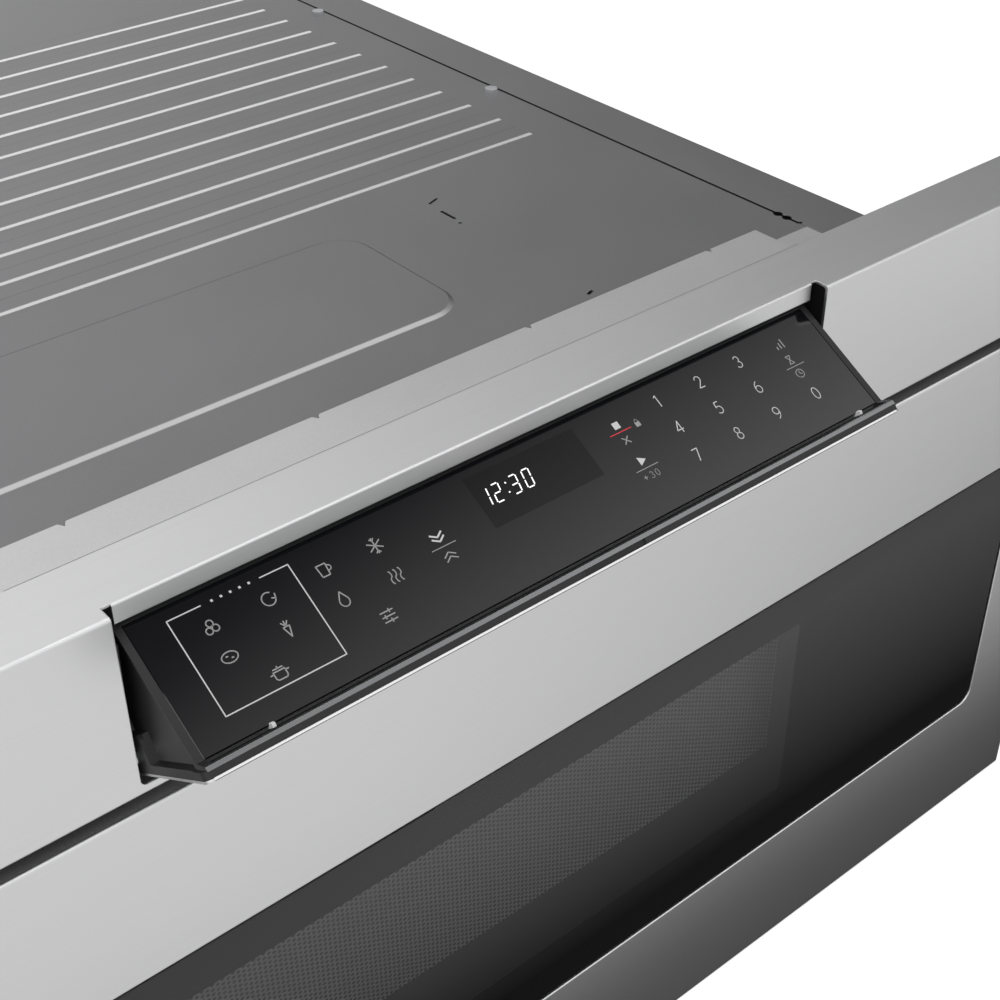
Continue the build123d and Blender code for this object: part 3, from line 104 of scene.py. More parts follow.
@dataclass(frozen=True)
class Graph:
    """A node tree, with short calls for the nodes that several materials share."""

    tree: Tree

    def feed(self, node: Node, values: dict[str | int, Value | Colour]) -> None:
        """Sets a node's inputs, and links those whose value is a socket."""
        for name, value in values.items():
            if isinstance(value, Socket):
                self.tree.links.new(value, node.inputs[name])
            else:
                node.inputs[name].default_value = value

    def node(self, kind: str, values: dict[str | int, Value | Colour] | None = None) -> Node:
        """Adds a shader node of a kind and feeds its inputs. Returns the node."""
        node = self.tree.nodes.new(f"ShaderNode{kind}")
        self.feed(node, values or {})
        return node

    def math(self, operation: str, first: Value, second: Value = 0.0) -> Socket:
        """Adds a Math node of Blender's named operation. Returns the result."""
        node = self.node("Math", {0: first, 1: second})
        node.operation = operation
        return node.outputs[0]

    def plus(self, first: Value, second: Value) -> Socket:
        """Returns the sum of two values."""
        return self.math("ADD", first, second)

    def minus(self, first: Value, second: Value) -> Socket:
        """Returns the first value less the second."""
        return self.math("SUBTRACT", first, second)

    def times(self, first: Value, *others: Value) -> Socket:
        """Returns the product of all values."""
        for other in others:
            first = self.math("MULTIPLY", first, other)
        return first

    def ramp(self, value: Socket, ramp: Ramp) -> Socket:
        """Maps a value by a clamped ramp: its two ends, then the results there. Returns the result."""
        names = ("From Min", "From Max", "To Min", "To Max")
        return self.node("MapRange", {"Value": value, **dict(zip(names, ramp))}).outputs["Result"]

    def mix(self, share: Value, first: Paint, second: Paint, blend: str = "MIX") -> Socket:
        """Mixes two colours.

        Args:
            share: Share of the second colour.
            first: First colour.
            second: Second colour.
            blend: Blender's name of the blend mode.

        Returns:
            The mixed colour.
        """
        node = self.node("Mix")
        node.data_type = "RGBA"
        node.blend_type = blend
        self.feed(node, {0: share, 6: first, 7: second})
        return node.outputs[2]

    def split(self, vector: Socket) -> tuple[Socket, ...]:
        """Returns the X, Y and Z of a vector."""
        node = self.node("SeparateXYZ", {"Vector": vector})
        return node.outputs["X"], node.outputs["Y"], node.outputs["Z"]

    def place(self, space: str = "Object") -> Socket:
        """Returns the texture coordinates of Blender's named space."""
        return self.node("TexCoord").outputs[space]

    def bevel(self, radius: float) -> Socket:
        """Returns the normal, rounded over edges by a radius."""
        return self.node("Bevel", {"Radius": radius * MM}).outputs["Normal"]


def new_material(name: str) -> tuple[bpy.types.Material, Graph]:
    """Adds a material. Returns it and its graph."""
    material = bpy.data.materials.new(name)
    material.use_nodes = True
    return material, Graph(material.node_tree)


def new_object(name: str, data: bpy.types.ID) -> Piece:
    """Adds an object to the scene. Returns it."""
    item = bpy.data.objects.new(name, data)
    bpy.context.scene.collection.objects.link(item)
    return item


class Effect(Enum):
    """Names of the shared shader effects."""

    BRUSHED = "brushed_streaks"
    MOTTLE = "sheet_mottle"
    MOULDED = "moulded_grain"
    PUNCHED = "punched_holes"
    SMUDGE = "handling_smudges"


@dataclass(frozen=True)
class Noise:
    """One object-space noise: its scale per metre, its octaves and the stretch of its coordinates."""

    scale: float
    detail: float
    stretch: Place = (1.0, 1.0, 1.0)

    def build(self, graph: Graph) -> Socket:
        """Adds the noise. Returns its factor."""
        mapping = graph.node("Mapping", {"Vector": graph.place(), "Scale": self.stretch})
        values = {"Vector": mapping.outputs["Vector"], "Scale": self.scale, "Detail": self.detail}
        return graph.node("TexNoise", values).outputs["Fac"]


@dataclass(frozen=True)
class Blend:
    """Two noises that vary a sheet: the fine one's share, and how far both move the tone."""

    fine: Noise
    broad: Noise
    share: float
    depth: float


@dataclass
class EffectLibrary:
    """Builds each shared effect once, as a shader node group."""

    brushed: Blend = Blend(Noise(22.0, 5.0, (1.0, 60.0, 60.0)), Noise(5.0, 2.0), 0.8, 0.09)
    mottle: Blend = Blend(Noise(900.0, 2.0), Noise(14.0, 3.0), 0.4, 0.3)
    smears: Noise = Noise(30.0, 4.0, (1.0, 2.0, 2.0))
    grain_depth: float = 0.5
    grain_tone: float = 0.8
    row_ratio: float = 1.732
    groups: dict[Effect, Tree] = field(init=False)

    def __post_init__(self) -> None:
        """Builds all groups."""
        self.groups = {
            Effect.BRUSHED: self._sheet(Effect.BRUSHED, self.brushed),
            Effect.MOTTLE: self._sheet(Effect.MOTTLE, self.mottle),
            Effect.MOULDED: self._moulded(),
            Effect.PUNCHED: self._punched(),
            Effect.SMUDGE: self._smudge(),
        }

    @staticmethod
    def _open(effect: Effect, *inputs: str) -> tuple[Graph, bpy.types.bpy_prop_collection]:
        """Starts a group. Returns its graph and its float inputs, which every finish sets."""
        tree = bpy.data.node_groups.new(effect.value, "ShaderNodeTree")
        for name in inputs:
            tree.interface.new_socket(name=name, in_out="INPUT", socket_type="NodeSocketFloat")
        return Graph(tree), tree.nodes.new("NodeGroupInput").outputs

    @staticmethod
    def _close(graph: Graph, results: dict[str, Socket]) -> Tree:
        """Gives a group its float outputs. Returns the group."""
        for name in results:
            graph.tree.interface.new_socket(name=name, in_out="OUTPUT", socket_type="NodeSocketFloat")
        graph.feed(graph.tree.nodes.new("NodeGroupOutput"), results)
        return graph.tree

    def _sheet(self, effect: Effect, blend: Blend) -> Tree:
        """Varies the gloss and the tone of a sheet: streaks along X over a drift, or specks over clouds.

        Args:
            effect: The effect that the group makes.
            blend: Its two noises. The fine one is also the height.

        Returns:
            The group.
        """
        graph, given = self._open(effect, "Roughness", "Spread", "Tone")
        height = blend.fine.build(graph)
        broad = graph.times(blend.broad.build(graph), 1 - blend.share)
        centred = graph.minus(graph.plus(graph.times(height, blend.share), broad), 0.5)
        rough = graph.plus(graph.times(centred, given["Spread"]), given["Roughness"])
        tone = graph.times(given["Tone"], graph.plus(graph.times(centred, blend.depth), 1.0))
        return self._close(graph, {"Roughness": rough, "Tone": tone, "Height": height})

    def _moulded(self) -> Tree:
        """Spark-eroded grain of a moulding. Returns the group."""
        graph, given = self._open(Effect.MOULDED, "Scale", "Tone")
        cells = graph.node("TexVoronoi", {"Vector": graph.place(), "Scale": given["Scale"]})
        cells.feature = "SMOOTH_F1"
        height = cells.outputs["Distance"]
        lift = graph.plus(graph.times(height, self.grain_depth), self.grain_tone)
        return self._close(graph, {"Tone": graph.times(given["Tone"], lift), "Height": height})

    def _punched(self) -> Tree:
        """Staggered round holes inside an oblong field of the XZ plane. Returns the group."""
        inputs = ("Pitch", "Hole", "Centre Z", "Half Width", "Half Height")
        graph, given = self._open(Effect.PUNCHED, *inputs)
        x, _, z = graph.split(graph.place())
        row_pitch = graph.times(given["Pitch"], self.row_ratio)
        holes: list[Socket] = []
        for shift in (0.0, 0.5):
            column = graph.plus(graph.math("DIVIDE", z, given["Pitch"]), shift)
            row = graph.plus(graph.math("DIVIDE", x, row_pitch), shift)
            up = graph.minus(graph.math("FRACT", column), 0.5)
            across = graph.times(graph.minus(graph.math("FRACT", row), 0.5), self.row_ratio)
            away = graph.math("SQRT", graph.plus(graph.times(up, up), graph.times(across, across)))
            holes.append(graph.math("LESS_THAN", away, given["Hole"]))
        in_x = graph.math("LESS_THAN", graph.math("ABSOLUTE", x), given["Half Width"])
        off_z = graph.math("ABSOLUTE", graph.minus(z, given["Centre Z"]))
        inside = graph.times(in_x, graph.math("LESS_THAN", off_z, given["Half Height"]))
        hole = graph.times(graph.math("MAXIMUM", *holes), inside)
        return self._close(graph, {"Hole": hole, "Field": inside})

    def _smudge(self) -> Tree:
        """Faint cloudy variation of gloss left by wiping. Returns the group."""
        graph, given = self._open(Effect.SMUDGE, "Roughness", "Spread")
        lifted = graph.math("MAXIMUM", graph.minus(self.smears.build(graph), 0.5), 0.0)
        rough = graph.plus(graph.times(lifted, given["Spread"]), given["Roughness"])
        return self._close(graph, {"Roughness": rough})


@dataclass(frozen=True)
class PaintedSlopeLight:
    """Painted highlight and painted shade on an embossed sheet's slopes, which are found by its normal rounded
    over their edges.
    """

    radius: float = 0.7
    level: Ramp = (0.5, 0.7, 0.0, 1.0)
    front: Ramp = (-0.2, -0.4, 0.0, 1.0)
    front_highlight: float = 0.52
    back: Ramp = (0.03, 0.12, 0.0, 1.0)
    back_shade: float = 0.02

    def paint_slope_light(self, graph: Graph, colour: Socket) -> Socket:
        """Paints a highlight on slopes that lean to the front and shade on those that lean back. Returns the
        colour.
        """
        _, lean, rise = graph.split(graph.bevel(self.radius))
        level = graph.ramp(rise, self.level)
        for ramp, tone in ((self.front, self.front_highlight), (self.back, self.back_shade)):
            colour = graph.mix(graph.times(graph.ramp(lean, ramp), level), colour, grey(tone))
        return colour


@dataclass(frozen=True)
class Finish:
    """One surface finish and the shared effect that varies it."""

    name: str
    effect: Effect
    colour: Colour
    metallic: float = 0.0
    roughness: float = 0.5
    spread: float = 0.1
    bump: float = 0.0
    depth: float = 0.1
    edge: float = 0.0
    specular: float = 0.5
    transmission: float = 0.0
    ior: float = 1.5
    glow: float = 0.0
    grain: float = 1500.0
    # Painted highlight and painted shade on the slopes of an embossed sheet, if it has them.
    embossing: PaintedSlopeLight | None = None

    def _normal(self, graph: Graph, height: Socket) -> Socket:
        """Adds the bump, over rounded edges where the finish has them. Returns the normal."""
        values = {"Strength": self.bump, "Distance": self.depth * MM, "Height": height}
        if self.edge > 0:
            values["Normal"] = graph.bevel(self.edge)
        return graph.node("Bump", values).outputs["Normal"]

    def build(self, effects: EffectLibrary) -> bpy.types.Material:
        """Builds the material.

        Args:
            effects: The shared shader effects.

        Returns:
            The new material.
        """
        material, graph = new_material(self.name)
        shader = graph.tree.nodes["Principled BSDF"]
        look = {
            "Base Color": self.colour,
            "Metallic": self.metallic,
            "Roughness": self.roughness,
            "Specular IOR Level": self.specular,
            "Transmission Weight": self.transmission,
            "IOR": self.ior,
        }
        if self.glow > 0:
            look |= {"Emission Color": self.colour, "Emission Strength": self.glow}
        graph.feed(shader, look)
        group = graph.node("Group")
        group.node_tree = effects.groups[self.effect]
        settings = {"Roughness": self.roughness, "Spread": self.spread, "Scale": self.grain, "Tone": 1.0}
        graph.feed(group, {name: value for name, value in settings.items() if name in group.inputs})
        if "Roughness" in group.outputs:
            graph.feed(shader, {"Roughness": group.outputs["Roughness"]})
        if "Tone" in group.outputs:
            colour = graph.mix(1.0, self.colour, group.outputs["Tone"], "MULTIPLY")
            # Painted highlight on front-leaning slopes and painted shade on back-leaning ones.
            if self.embossing:
                colour = self.embossing.paint_slope_light(graph, colour)
            graph.feed(shader, {"Base Color": colour})
        if self.bump > 0:
            graph.feed(shader, {"Normal": self._normal(graph, group.outputs["Height"])})
        return material


@dataclass(frozen=True)
class ScreenFinish:
    """Black inner panel whose middle field is punched with staggered holes."""

    name: str = "punched_screen"
    metal: Colour = grey(0.03)
    land: Colour = grey(0.5)
    hole: Colour = grey(0.004)
    roughness: float = 0.45
    specular: float = 0.05
    hole_share: float = 0.33
    pitch: float = 2.7
    centre_z: float = 152.8
    half_width: float = 185.0
    half_height: float = 47.0

    def build(self, effects: EffectLibrary) -> bpy.types.Material:
        """Builds the material.

        Args:
            effects: The shared shader effects.

        Returns:
            The new material.
        """
        material, graph = new_material(self.name)
        group = graph.node("Group")
        group.node_tree = effects.groups[Effect.PUNCHED]
        settings = {
            "Hole": self.hole_share,
            "Pitch": self.pitch * MM,
            "Centre Z": self.centre_z * MM,
            "Half Width": self.half_width * MM,
            "Half Height": self.half_height * MM,
        }
        graph.feed(group, settings)
        ground = graph.mix(group.outputs["Field"], self.metal, self.land)
        look = {
            "Base Color": graph.mix(group.outputs["Hole"], ground, self.hole),
            "Roughness": self.roughness,
            "Specular IOR Level": self.specular,
        }
        graph.feed(graph.tree.nodes["Principled BSDF"], look)
        return material


def brushed(name: str, colour: Colour, *values: float) -> Finish:
    """Returns a finish of brushed metal."""
    return Finish(name, Effect.BRUSHED, colour, *values)


def sheet(name: str, colour: Colour, *values: float, **others: float | PaintedSlopeLight) -> Finish:
    """Returns a finish of coated or bare sheet."""
    return Finish(name, Effect.MOTTLE, colour, *values, **others)


def moulded(name: str, tone: float, **values: float) -> Finish:
    """Returns a neutral finish with the grain of a moulding."""
    return Finish(name, Effect.MOULDED, grey(tone), **values)


def glossy(name: str, colour: Colour, **values: float) -> Finish:
    """Returns a finish of glass, light or print with faint smudges."""
    return Finish(name, Effect.SMUDGE, colour, **values)


# Values without a name are metallic, roughness, spread, bump, depth and edge.
STAINLESS = brushed("brushed_stainless", (0.62, 0.62, 0.625, 1), 1, 0.38, 0.05, 0.006, 0.02, 0.5)
SILVER = brushed("satin_aluminium", (0.2, 0.202, 0.206, 1), 1, 0.26, 0.1, 0.02, 0.02)
# Stainless lightened as a painted highlight, for the cut edge of the panel's skin.
HIGHLIGHT_EDGE = brushed("painted_highlight_edge", (0.95, 0.95, 0.95, 1), 0.25, 0.4, 0.1, 0.02, 0.02)
SHEET = sheet("coated_sheet", (0.20, 0.20, 0.205, 1), 0.6, 0.36, 0.12, 0.02, 0.02, 1.2)
# The cover's slopes carry a painted highlight at the front and painted shade at the back.
COVER = sheet("embossed_sheet", SHEET.colour, 0.6, 0.36, 0.12, 0.02, 0.02, 0.3, embossing=PaintedSlopeLight())
PALE_SHEET = sheet("bright_sheet", (0.58, 0.58, 0.58, 1), 0.8, 0.36, 0.08, 0.008, 0.02, 0.3)
LINER = sheet("oven_enamel", (0.55, 0.56, 0.57, 1), 0, 0.35, 0.1, 0.05, 0.04)
CERAMIC = sheet("glazed_ceramic", (0.74, 0.73, 0.70, 1), 0, 0.12, 0.05, 0.03, 0.03)
ZINC = sheet("zinc_plate", (0.55, 0.56, 0.58, 1), 0.9, 0.32, 0.2, 0.05, 0.04, 0.2)
BOARD = sheet("circuit_board", (0.03, 0.12, 0.05, 1), 0, 0.4)
MICA = sheet("low_loss_sheet", (0.62, 0.57, 0.45, 1), 0, 0.6)
ALUMINIUM = sheet("plain_aluminium", (0.62, 0.63, 0.64, 1), 1, 0.38, 0.15)
CORE = sheet("varnished_core", (0.09, 0.07, 0.06, 1), 0.3, 0.45)
MASK = moulded("black_print", 0.012)
BLACK = moulded("black_moulding", 0.02, roughness=0.48, bump=0.25, depth=0.12, specular=0.3, edge=0.25)
WHITE = moulded("white_nylon", 0.72, roughness=0.45, bump=0.1, depth=0.05)
SHADOW = moulded("seam_shadow", 0.10, roughness=0.6)
# Near-black: painted shade in the lip's groove and on the jambs, and the dark seams of the top cover.
SHADE_AND_SEAM = moulded("painted_shade_and_seams", 0.004, roughness=0.9, specular=0.1)
PAD = moulded("white_pad", 0.92, bump=0.1, depth=0.05)
CAP = moulded("grey_cap", 0.12, bump=0.15, edge=0.25)
RUBBER = moulded("black_rubber", 0.02, roughness=0.7, bump=0.1)
GLASS = glossy("smoked_glass", (0.30, 0.30, 0.305, 1), roughness=0.01, spread=0.03, transmission=1, ior=1.38)
TOUCH = glossy("black_touch_glass", (0.006, 0.006, 0.0075, 1), roughness=0.10, spread=0.05)
LAMP = glossy("lamp_glass", (0.9, 0.88, 0.82, 1), roughness=0.05, spread=0.02)
PRINT = glossy("white_print", grey(0.62), glow=0.10)
RED_PRINT = glossy("red_print", (0.62, 0.03, 0.05, 1), glow=0.25)
DIM_PRINT = glossy("dim_print", grey(0.34), glow=0.05)
CLOCK = glossy("clock_light", grey(1.0), glow=0.7)
DISPLAY = glossy("display_window", grey(0.003), roughness=0.16, specular=0.34)


def both(stem: str) -> tuple[str, str]:
    """Returns the names of a left and a right node."""
    return (f"{stem}_left", f"{stem}_right")


NODE_FINISHES: dict[Finish, tuple[str, ...]] = {
    STAINLESS: ("fascia", "drawer_skin", "panel_skin"),
    SHEET: (*both("chassis_side"), "base_pan", "back_panel", *both("door_arm"), "motor_bracket"),
    COVER: ("top_cover",),
    PALE_SHEET: ("pocket_cover", "front_frame", "waveguide", "stirrer_motor", "fan_motor", "drive_motor"),
    LINER: ("oven_liner", "drawer_pan"),
    GLASS: ("window_glass",),
    MASK: ("window_mask", "choke_cover"),
    TOUCH: ("touch_glass",),
    BLACK: ("panel_housing", "control_pocket", *both("hinge_bracket"), "fan_shroud", *both("interlock")),
    CAP: ("drawer_top_cap",),
    WHITE: ("panel_bumpers", "rear_glides", "fan_wheel", "drive_rack", "drive_pinion", "latch_hooks"),
    SILVER: ("panel_strip",),
    CERAMIC: ("ceramic_floor",),
    ZINC: (
        *("choke_comb", "hinge_pins", "cover_screws"),
        *both("slide_fixed") + both("slide_middle") + both("slide_drawer"),
    ),
    BOARD: ("main_board", "display_board"),
    MICA: ("stirrer_cover",),
    ALUMINIUM: ("stirrer_dome", "magnetron", "stirrer_blade", "capacitor"),
    CORE: ("transformer",),
    LAMP: ("cavity_lamp",),
    RUBBER: ("power_gland",),
}


def extrude(build: Build, corners: list[Vector], reach: Vector) -> None:
    """Adds an outline carried along a vector to a mesh that is being built."""
    base = build.faces.new([build.verts.new(corner * MM) for corner in corners])
    made = bmesh.ops.extrude_face_region(build, geom=[base])
    tops = [item for item in made["geom"] if isinstance(item, bmesh.types.BMVert)]
    bmesh.ops.translate(build, verts=tops, vec=reach * MM)


class Workshop:
    """Keeps the shared effects and one material of each finish, and turns built meshes into pieces."""

    def __init__(self) -> None:
        """Builds the effects."""
        self.effects = EffectLibrary()
        self._made: dict[str, bpy.types.Material] = {}

    def dress(self, piece: Piece, finish: Finish | ScreenFinish) -> None:
        """Puts one finish on the whole of a piece. Its material is built on first use."""
        if finish.name not in self._made:
            self._made[finish.name] = finish.build(self.effects)
        piece.data.materials.clear()
        piece.data.materials.append(self._made[finish.name])

    def piece(self, name: str, build: Build, finish: Finish, soft: float = 0.0) -> Piece:
        """Turns a closed mesh into a dressed piece.

        Args:
            name: Name of the piece.
            build: Its mesh, which is used up.
            finish: Its finish.
            soft: Width of its edge bevels.

        Returns:
            The new object.
        """
        bmesh.ops.recalc_face_normals(build, faces=build.faces)
        if soft > 0:
            bevel = {"segments": 2, "profile": 0.5, "affect": "EDGES", "clamp_overlap": True}
            bmesh.ops.bevel(build, geom=build.edges[:], offset=soft * MM, **bevel)
        mesh = bpy.data.meshes.new(name)
        build.to_mesh(mesh)
        build.free()
        piece = new_object(name, mesh)
        self.dress(piece, finish)
        LOG.info("%s: %d faces in %s", name, len(mesh.polygons), finish.name)
        return piece


@dataclass
class Cabinetwork:
    """The CAD nodes that are shown as they are, with their finishes."""

    nodes: dict[str, Piece]
    unmirrored: tuple[str, ...] = ("touch_glass", "panel_skin", "panel_housing")

    def dress(self, workshop: Workshop) -> None:
        """Dresses every CAD node, and keeps the panel's out of mirror images."""
        for finish, names in NODE_FINISHES.items():
            for name in names:
                workshop.dress(self.nodes[name], finish)
            LOG.info("%s on %d nodes", finish.name, len(names))
        workshop.dress(self.nodes["door_inner_panel"], ScreenFinish())
        LOG.info("punched_screen on door_inner_panel")
        for name in self.unmirrored:
            self.nodes[name].visible_glossy = False


@dataclass(frozen=True)
class PanelPlace:
    """Rest place of the control panel. Its profiles are drawn shut, as depth and height from its pivot."""

    pivot: Point
    tilt: float

    @classmethod
    def from_joints(cls, joints: list[dict]) -> PanelPlace:
        """Returns the pivot and the tilt of the frame's panel joint."""
        joint = next(joint for joint in joints if joint["name"] == "panel_tilt")
        _, y, z = joint["pos_m"]
        return cls((y / MM, z / MM), joint["range_deg"][1])

    def turn(self, point: Point) -> Point:
        """Returns the Y and Z to which the tilt carries a point of a shut profile."""
        angle = math.radians(self.tilt)
        depth, height = point
        return (
            self.pivot[0] + depth * math.cos(angle) - height * math.sin(angle),
            self.pivot[1] + depth * math.sin(angle) + height * math.cos(angle),
        )


@dataclass
class PanelTrim:
    """Small trims of the tilted control panel and of its opening, with painted highlight and painted shade
    among them: profiles drawn out along X.
    """

    workshop: Workshop
    place: PanelPlace
    skin_out: float = -6.5
    skin_in: float = -5.6
    strip_out: float = -2.8
    lip_in: float = -1.4
    lip_reach: float = 56.0
    lip_half: float = 154.4
    inlay_half: float = 155.3
    inlay_shift: float = 0.3
    inlay_lap: float = 0.2
    inlay_land: float = 0.39
    inlay_foot: float = 1.97
    inlay_slope: Point = (0.02, 0.72)
    inlay_root: float = 0.01
    hem_lift: float = 0.005
    hem_gauge: float = 0.02
    hem_wrap: float = 0.1
    # Width of the painted shadow line along the skin's edge.
    seam: float = 0.25
    pad_width: float = 1.3
    pads: tuple[float, float] = (-129.3, 141.0)
    pad_back: Path = ((-2.12, 47.3), (-0.78, 49.2), (-0.49, 49.06), (-0.05, 49.9), (-0.3, 51.5))
    pad_front: Path = ((-0.3, 51.5), (-0.58, 49.5))
    # Profile of the painted shade on the lip's inner wall.
    shade_wall: Path = ((0.0, 53.98), (-0.7, 49.5), (-1.13, 47.3))
    shade_skin: Point = (0.02, 0.1)
    jamb: float = 158.68
    # Thickness and profile of the painted shade on the jambs.
    shade_gauge: float = 0.3
    jamb_shade_profile: Path = ((-31.2, 346.0), (-24.6, 346.0), (-24.6, 386.4), (-30.4, 386.4), (-31.2, 385.6))

    def _prism(self, name: str, profile: Path, spans: Path, soft: float, finish: Finish) -> Piece:
        """Draws a YZ profile out along X, once for each span.

        Args:
            name: Name of the piece.
            profile: Corners of the profile.
            spans: First and last X of each copy.
            soft: Width of the edge bevels.
            finish: Finish of the piece.

        Returns:
            The new object.
        """
        build = bmesh.new()
        for start, end in spans:
            extrude(build, [Vector((start, y, z)) for y, z in profile], Vector((end - start, 0, 0)))
        return self.workshop.piece(name, build, finish, soft)

    def _tilted(self, name: str, profile: Path, spans: Path, soft: float, finish: Finish) -> Piece:
        """Does the same with a profile of the shut panel. Returns the new object."""
        return self._prism(name, tuple(map(self.place.turn, profile)), spans, soft, finish)

    def _inlay(self) -> None:
        """Builds the silver inlay, whose face lies parallel to the glass."""
        out, inner = self.strip_out - self.inlay_shift, self.lip_in - self.inlay_shift
        back, root = inner + self.inlay_lap, self.strip_out + self.inlay_root
        land, foot = self.lip_reach - self.inlay_land, self.lip_reach - self.inlay_foot
        high, low = (self.lip_reach - drop for drop in self.inlay_slope)
        face = ((out, land), (out, high), (inner, low))
        rest = ((back, foot + self.inlay_lap), (back, foot), (root, foot), (root, land))
        spans = ((-self.inlay_half, self.inlay_half),)
        piece = self._tilted("lip_inlay", face + rest, spans, 0.05, SILVER)
        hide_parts("panel_strip")
        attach(piece, "control_panel")

    def _hem(self) -> None:
        """Builds the cut edge of the panel's skin, lightened as a painted highlight, and a painted shadow line
        along it.
        """
        face, edge = self.lip_reach + self.hem_lift, self.skin_out + self.seam
        back, wall = self.skin_in + self.hem_wrap, self.skin_in + self.hem_gauge
        top, dark_top = face + self.hem_gauge, face + self.hem_gauge / 2
        land = self.lip_reach - self.inlay_land
        bright = ((edge, face), (edge, top), (back, top), (back, land), (wall, land), (wall, face))
        dark = ((self.skin_out, face), (self.skin_out, dark_top), (edge, dark_top), (edge, face))
        spans = ((-self.lip_half, self.lip_half),)
        # The first is the skin's cut edge, lightened as a painted highlight; the second is a painted shadow
        # line.
        for name, profile, finish in (("lip_hem", bright, HIGHLIGHT_EDGE), ("lip_shadow_line", dark, SHADOW)):
            piece = self._tilted(name, profile, spans, 0.003, finish)
            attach(piece, "control_panel")

    def _pads(self) -> None:
        """Builds the two stop pads between the glass and the lip."""
        front = tuple((self.lip_in + depth, height) for depth, height in self.pad_front)
        spans = tuple((x - self.pad_width / 2, x + self.pad_width / 2) for x in self.pads)
        piece = self._tilted("stop_pads", self.pad_back + front, spans, 0.07, PAD)
        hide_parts("panel_bumpers")
        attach(piece, "control_panel")

    def _groove_shade(self) -> None:
        """Builds a near-black plate on the inner wall of the lip, beside the glass: painted shade in the
        groove there.
        """
        near, far = (self.lip_in + depth for depth in self.shade_skin)
        profile = tuple((near + depth, height) for depth, height in self.shade_wall)
        profile += tuple((far + depth, height) for depth, height in reversed(self.shade_wall))
        spans = ((-self.inlay_half, self.inlay_half),)
        piece = self._tilted("groove_shade", profile, spans, 0.004, SHADE_AND_SEAM)
        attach(piece, "control_panel")

    def _jamb_shades(self) -> None:
        """Builds near-black plates on the jambs of the panel's opening: painted shade where the jambs lie in
        deep shadow.
        """
        for side, name in zip((-1, 1), both("jamb_shade")):
            spans = ((side * (self.jamb - self.shade_gauge), side * self.jamb),)
            piece = self._prism(name, self.jamb_shade_profile, spans, 0.05, SHADE_AND_SEAM)
            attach(piece, "cabinet")

    def build(self) -> None:
        """Builds all trims."""
        self._inlay()
        self._hem()
        self._pads()
        self._groove_shade()
        self._jamb_shades()


def arc(centre: Point, radius: Point, start: float, end: float, steps: int = 14) -> Path:
    """Points along an elliptical arc.

    Args:
        centre: Centre of the arc.
        radius: Half width and half height.
        start: First angle in degrees.
        end: Last angle in degrees.
        steps: Number of segments.

    Returns:
        The points in order.
    """
    turns = [math.radians(start + (end - start) * k / steps) for k in range(steps + 1)]
    return tuple((centre[0] + radius[0] * math.cos(a), centre[1] + radius[1] * math.sin(a)) for a in turns)


def oblong(low: Point, high: Point) -> Path:
    """Returns the corners of a rectangle between two opposite ones."""
    return (low, (high[0], low[1]), high, (low[0], high[1]))


@dataclass
class SheetSeams:
    """Dark lines where the top cover meets the side flanges, and a faint one on the fascia's top."""

    workshop: Workshop
    cover_half: float
    cover_top: float
    apron_top: float
    cover_span: Point = (39.0, 582.0)
    cover_line: float = 1.5
    clips: Point = (46.4, 51.8)
    clip_radius: float = 2.2
    curl_radius: float = 0.9
    apron_half: float = 177.0
    apron_line: float = 0.14
    lift: float = 0.01
    gauge: float = 0.02

    @classmethod
    def from_nodes(cls, workshop: Workshop) -> SheetSeams:
        """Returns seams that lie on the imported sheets."""
        cover, side, fascia = (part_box(name)[1] / MM for name in ("top_cover", "chassis_side_left", "fascia"))
        return cls(workshop, cover.x, side.z, fascia.z)

    def _slab(self, build: Build, outline: Path, level: float) -> None:
        """Adds one thin plate just above a level, from its outline seen from above."""
        extrude(build, [Vector((x, y, level + self.lift)) for x, y in outline], Vector((0, 0, self.gauge)))

    def _disc(self, build: Build, centre: Point, radius: float) -> None:
        """Adds one round plate to the cover's seams."""
        self._slab(build, arc(centre, (radius, radius), 0, 345, 23), self.cover_top)

    def build(self) -> None:
        """Builds both kinds of seam."""
        cover, apron = bmesh.new(), bmesh.new()
        low, high = self.cover_span
        for side in (-1, 1):
            x, half = side * self.cover_half, self.cover_line / 2
            self._slab(cover, oblong((x - half, low), (x + half, high)), self.cover_top)
            for y in self.clips:
                self._disc(cover, (x, y), self.clip_radius)
            self._disc(cover, (x + side * self.curl_radius, low), self.curl_radius)
        corner = (self.apron_half, self.apron_line / 2)
        self._slab(apron, oblong((-corner[0], -corner[1]), corner), self.apron_top)
        for name, build, finish in (("cover_seams", cover, SHADE_AND_SEAM), ("apron_seam", apron, SHADOW)):
            piece = self.workshop.piece(name, build, finish)
            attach(piece, "cabinet")


# Lines that draw each digit, in units of its height.
DIGITS: dict[str, tuple[Path, ...]] = {
    "0": (arc((0.3, 0.5), (0.28, 0.5), 90, 450, 28),),
    "1": (((0.12, 0.86), (0.3, 1.0), (0.3, 0.0)),),
    "2": (arc((0.3, 0.72), (0.25, 0.28), 165, -25) + ((0.06, 0.0), (0.56, 0.0)),),
    "3": (arc((0.28, 0.75), (0.22, 0.25), 150, -85) + arc((0.28, 0.26), (0.26, 0.26), 80, -150),),
    "4": (((0.44, 0.0), (0.44, 1.0), (0.02, 0.27), (0.6, 0.27)),),
    "5": (((0.5, 1.0), (0.16, 1.0), (0.1, 0.56)) + arc((0.28, 0.31), (0.27, 0.31), 120, -140),),
    "6": (arc((0.3, 0.3), (0.27, 0.3), 90, 450, 24), arc((0.63, 0.32), (0.6, 0.72), 112, 184)),
    "7": (((0.05, 1.0), (0.56, 1.0), (0.2, 0.0)),),
    "8": (arc((0.3, 0.76), (0.21, 0.24), 90, 450, 22), arc((0.3, 0.26), (0.26, 0.26), 90, 450, 22)),
    "9": (arc((0.3, 0.7), (0.27, 0.3), 90, 450, 24), arc((-0.03, 0.68), (0.6, 0.72), -68, 4)),
}


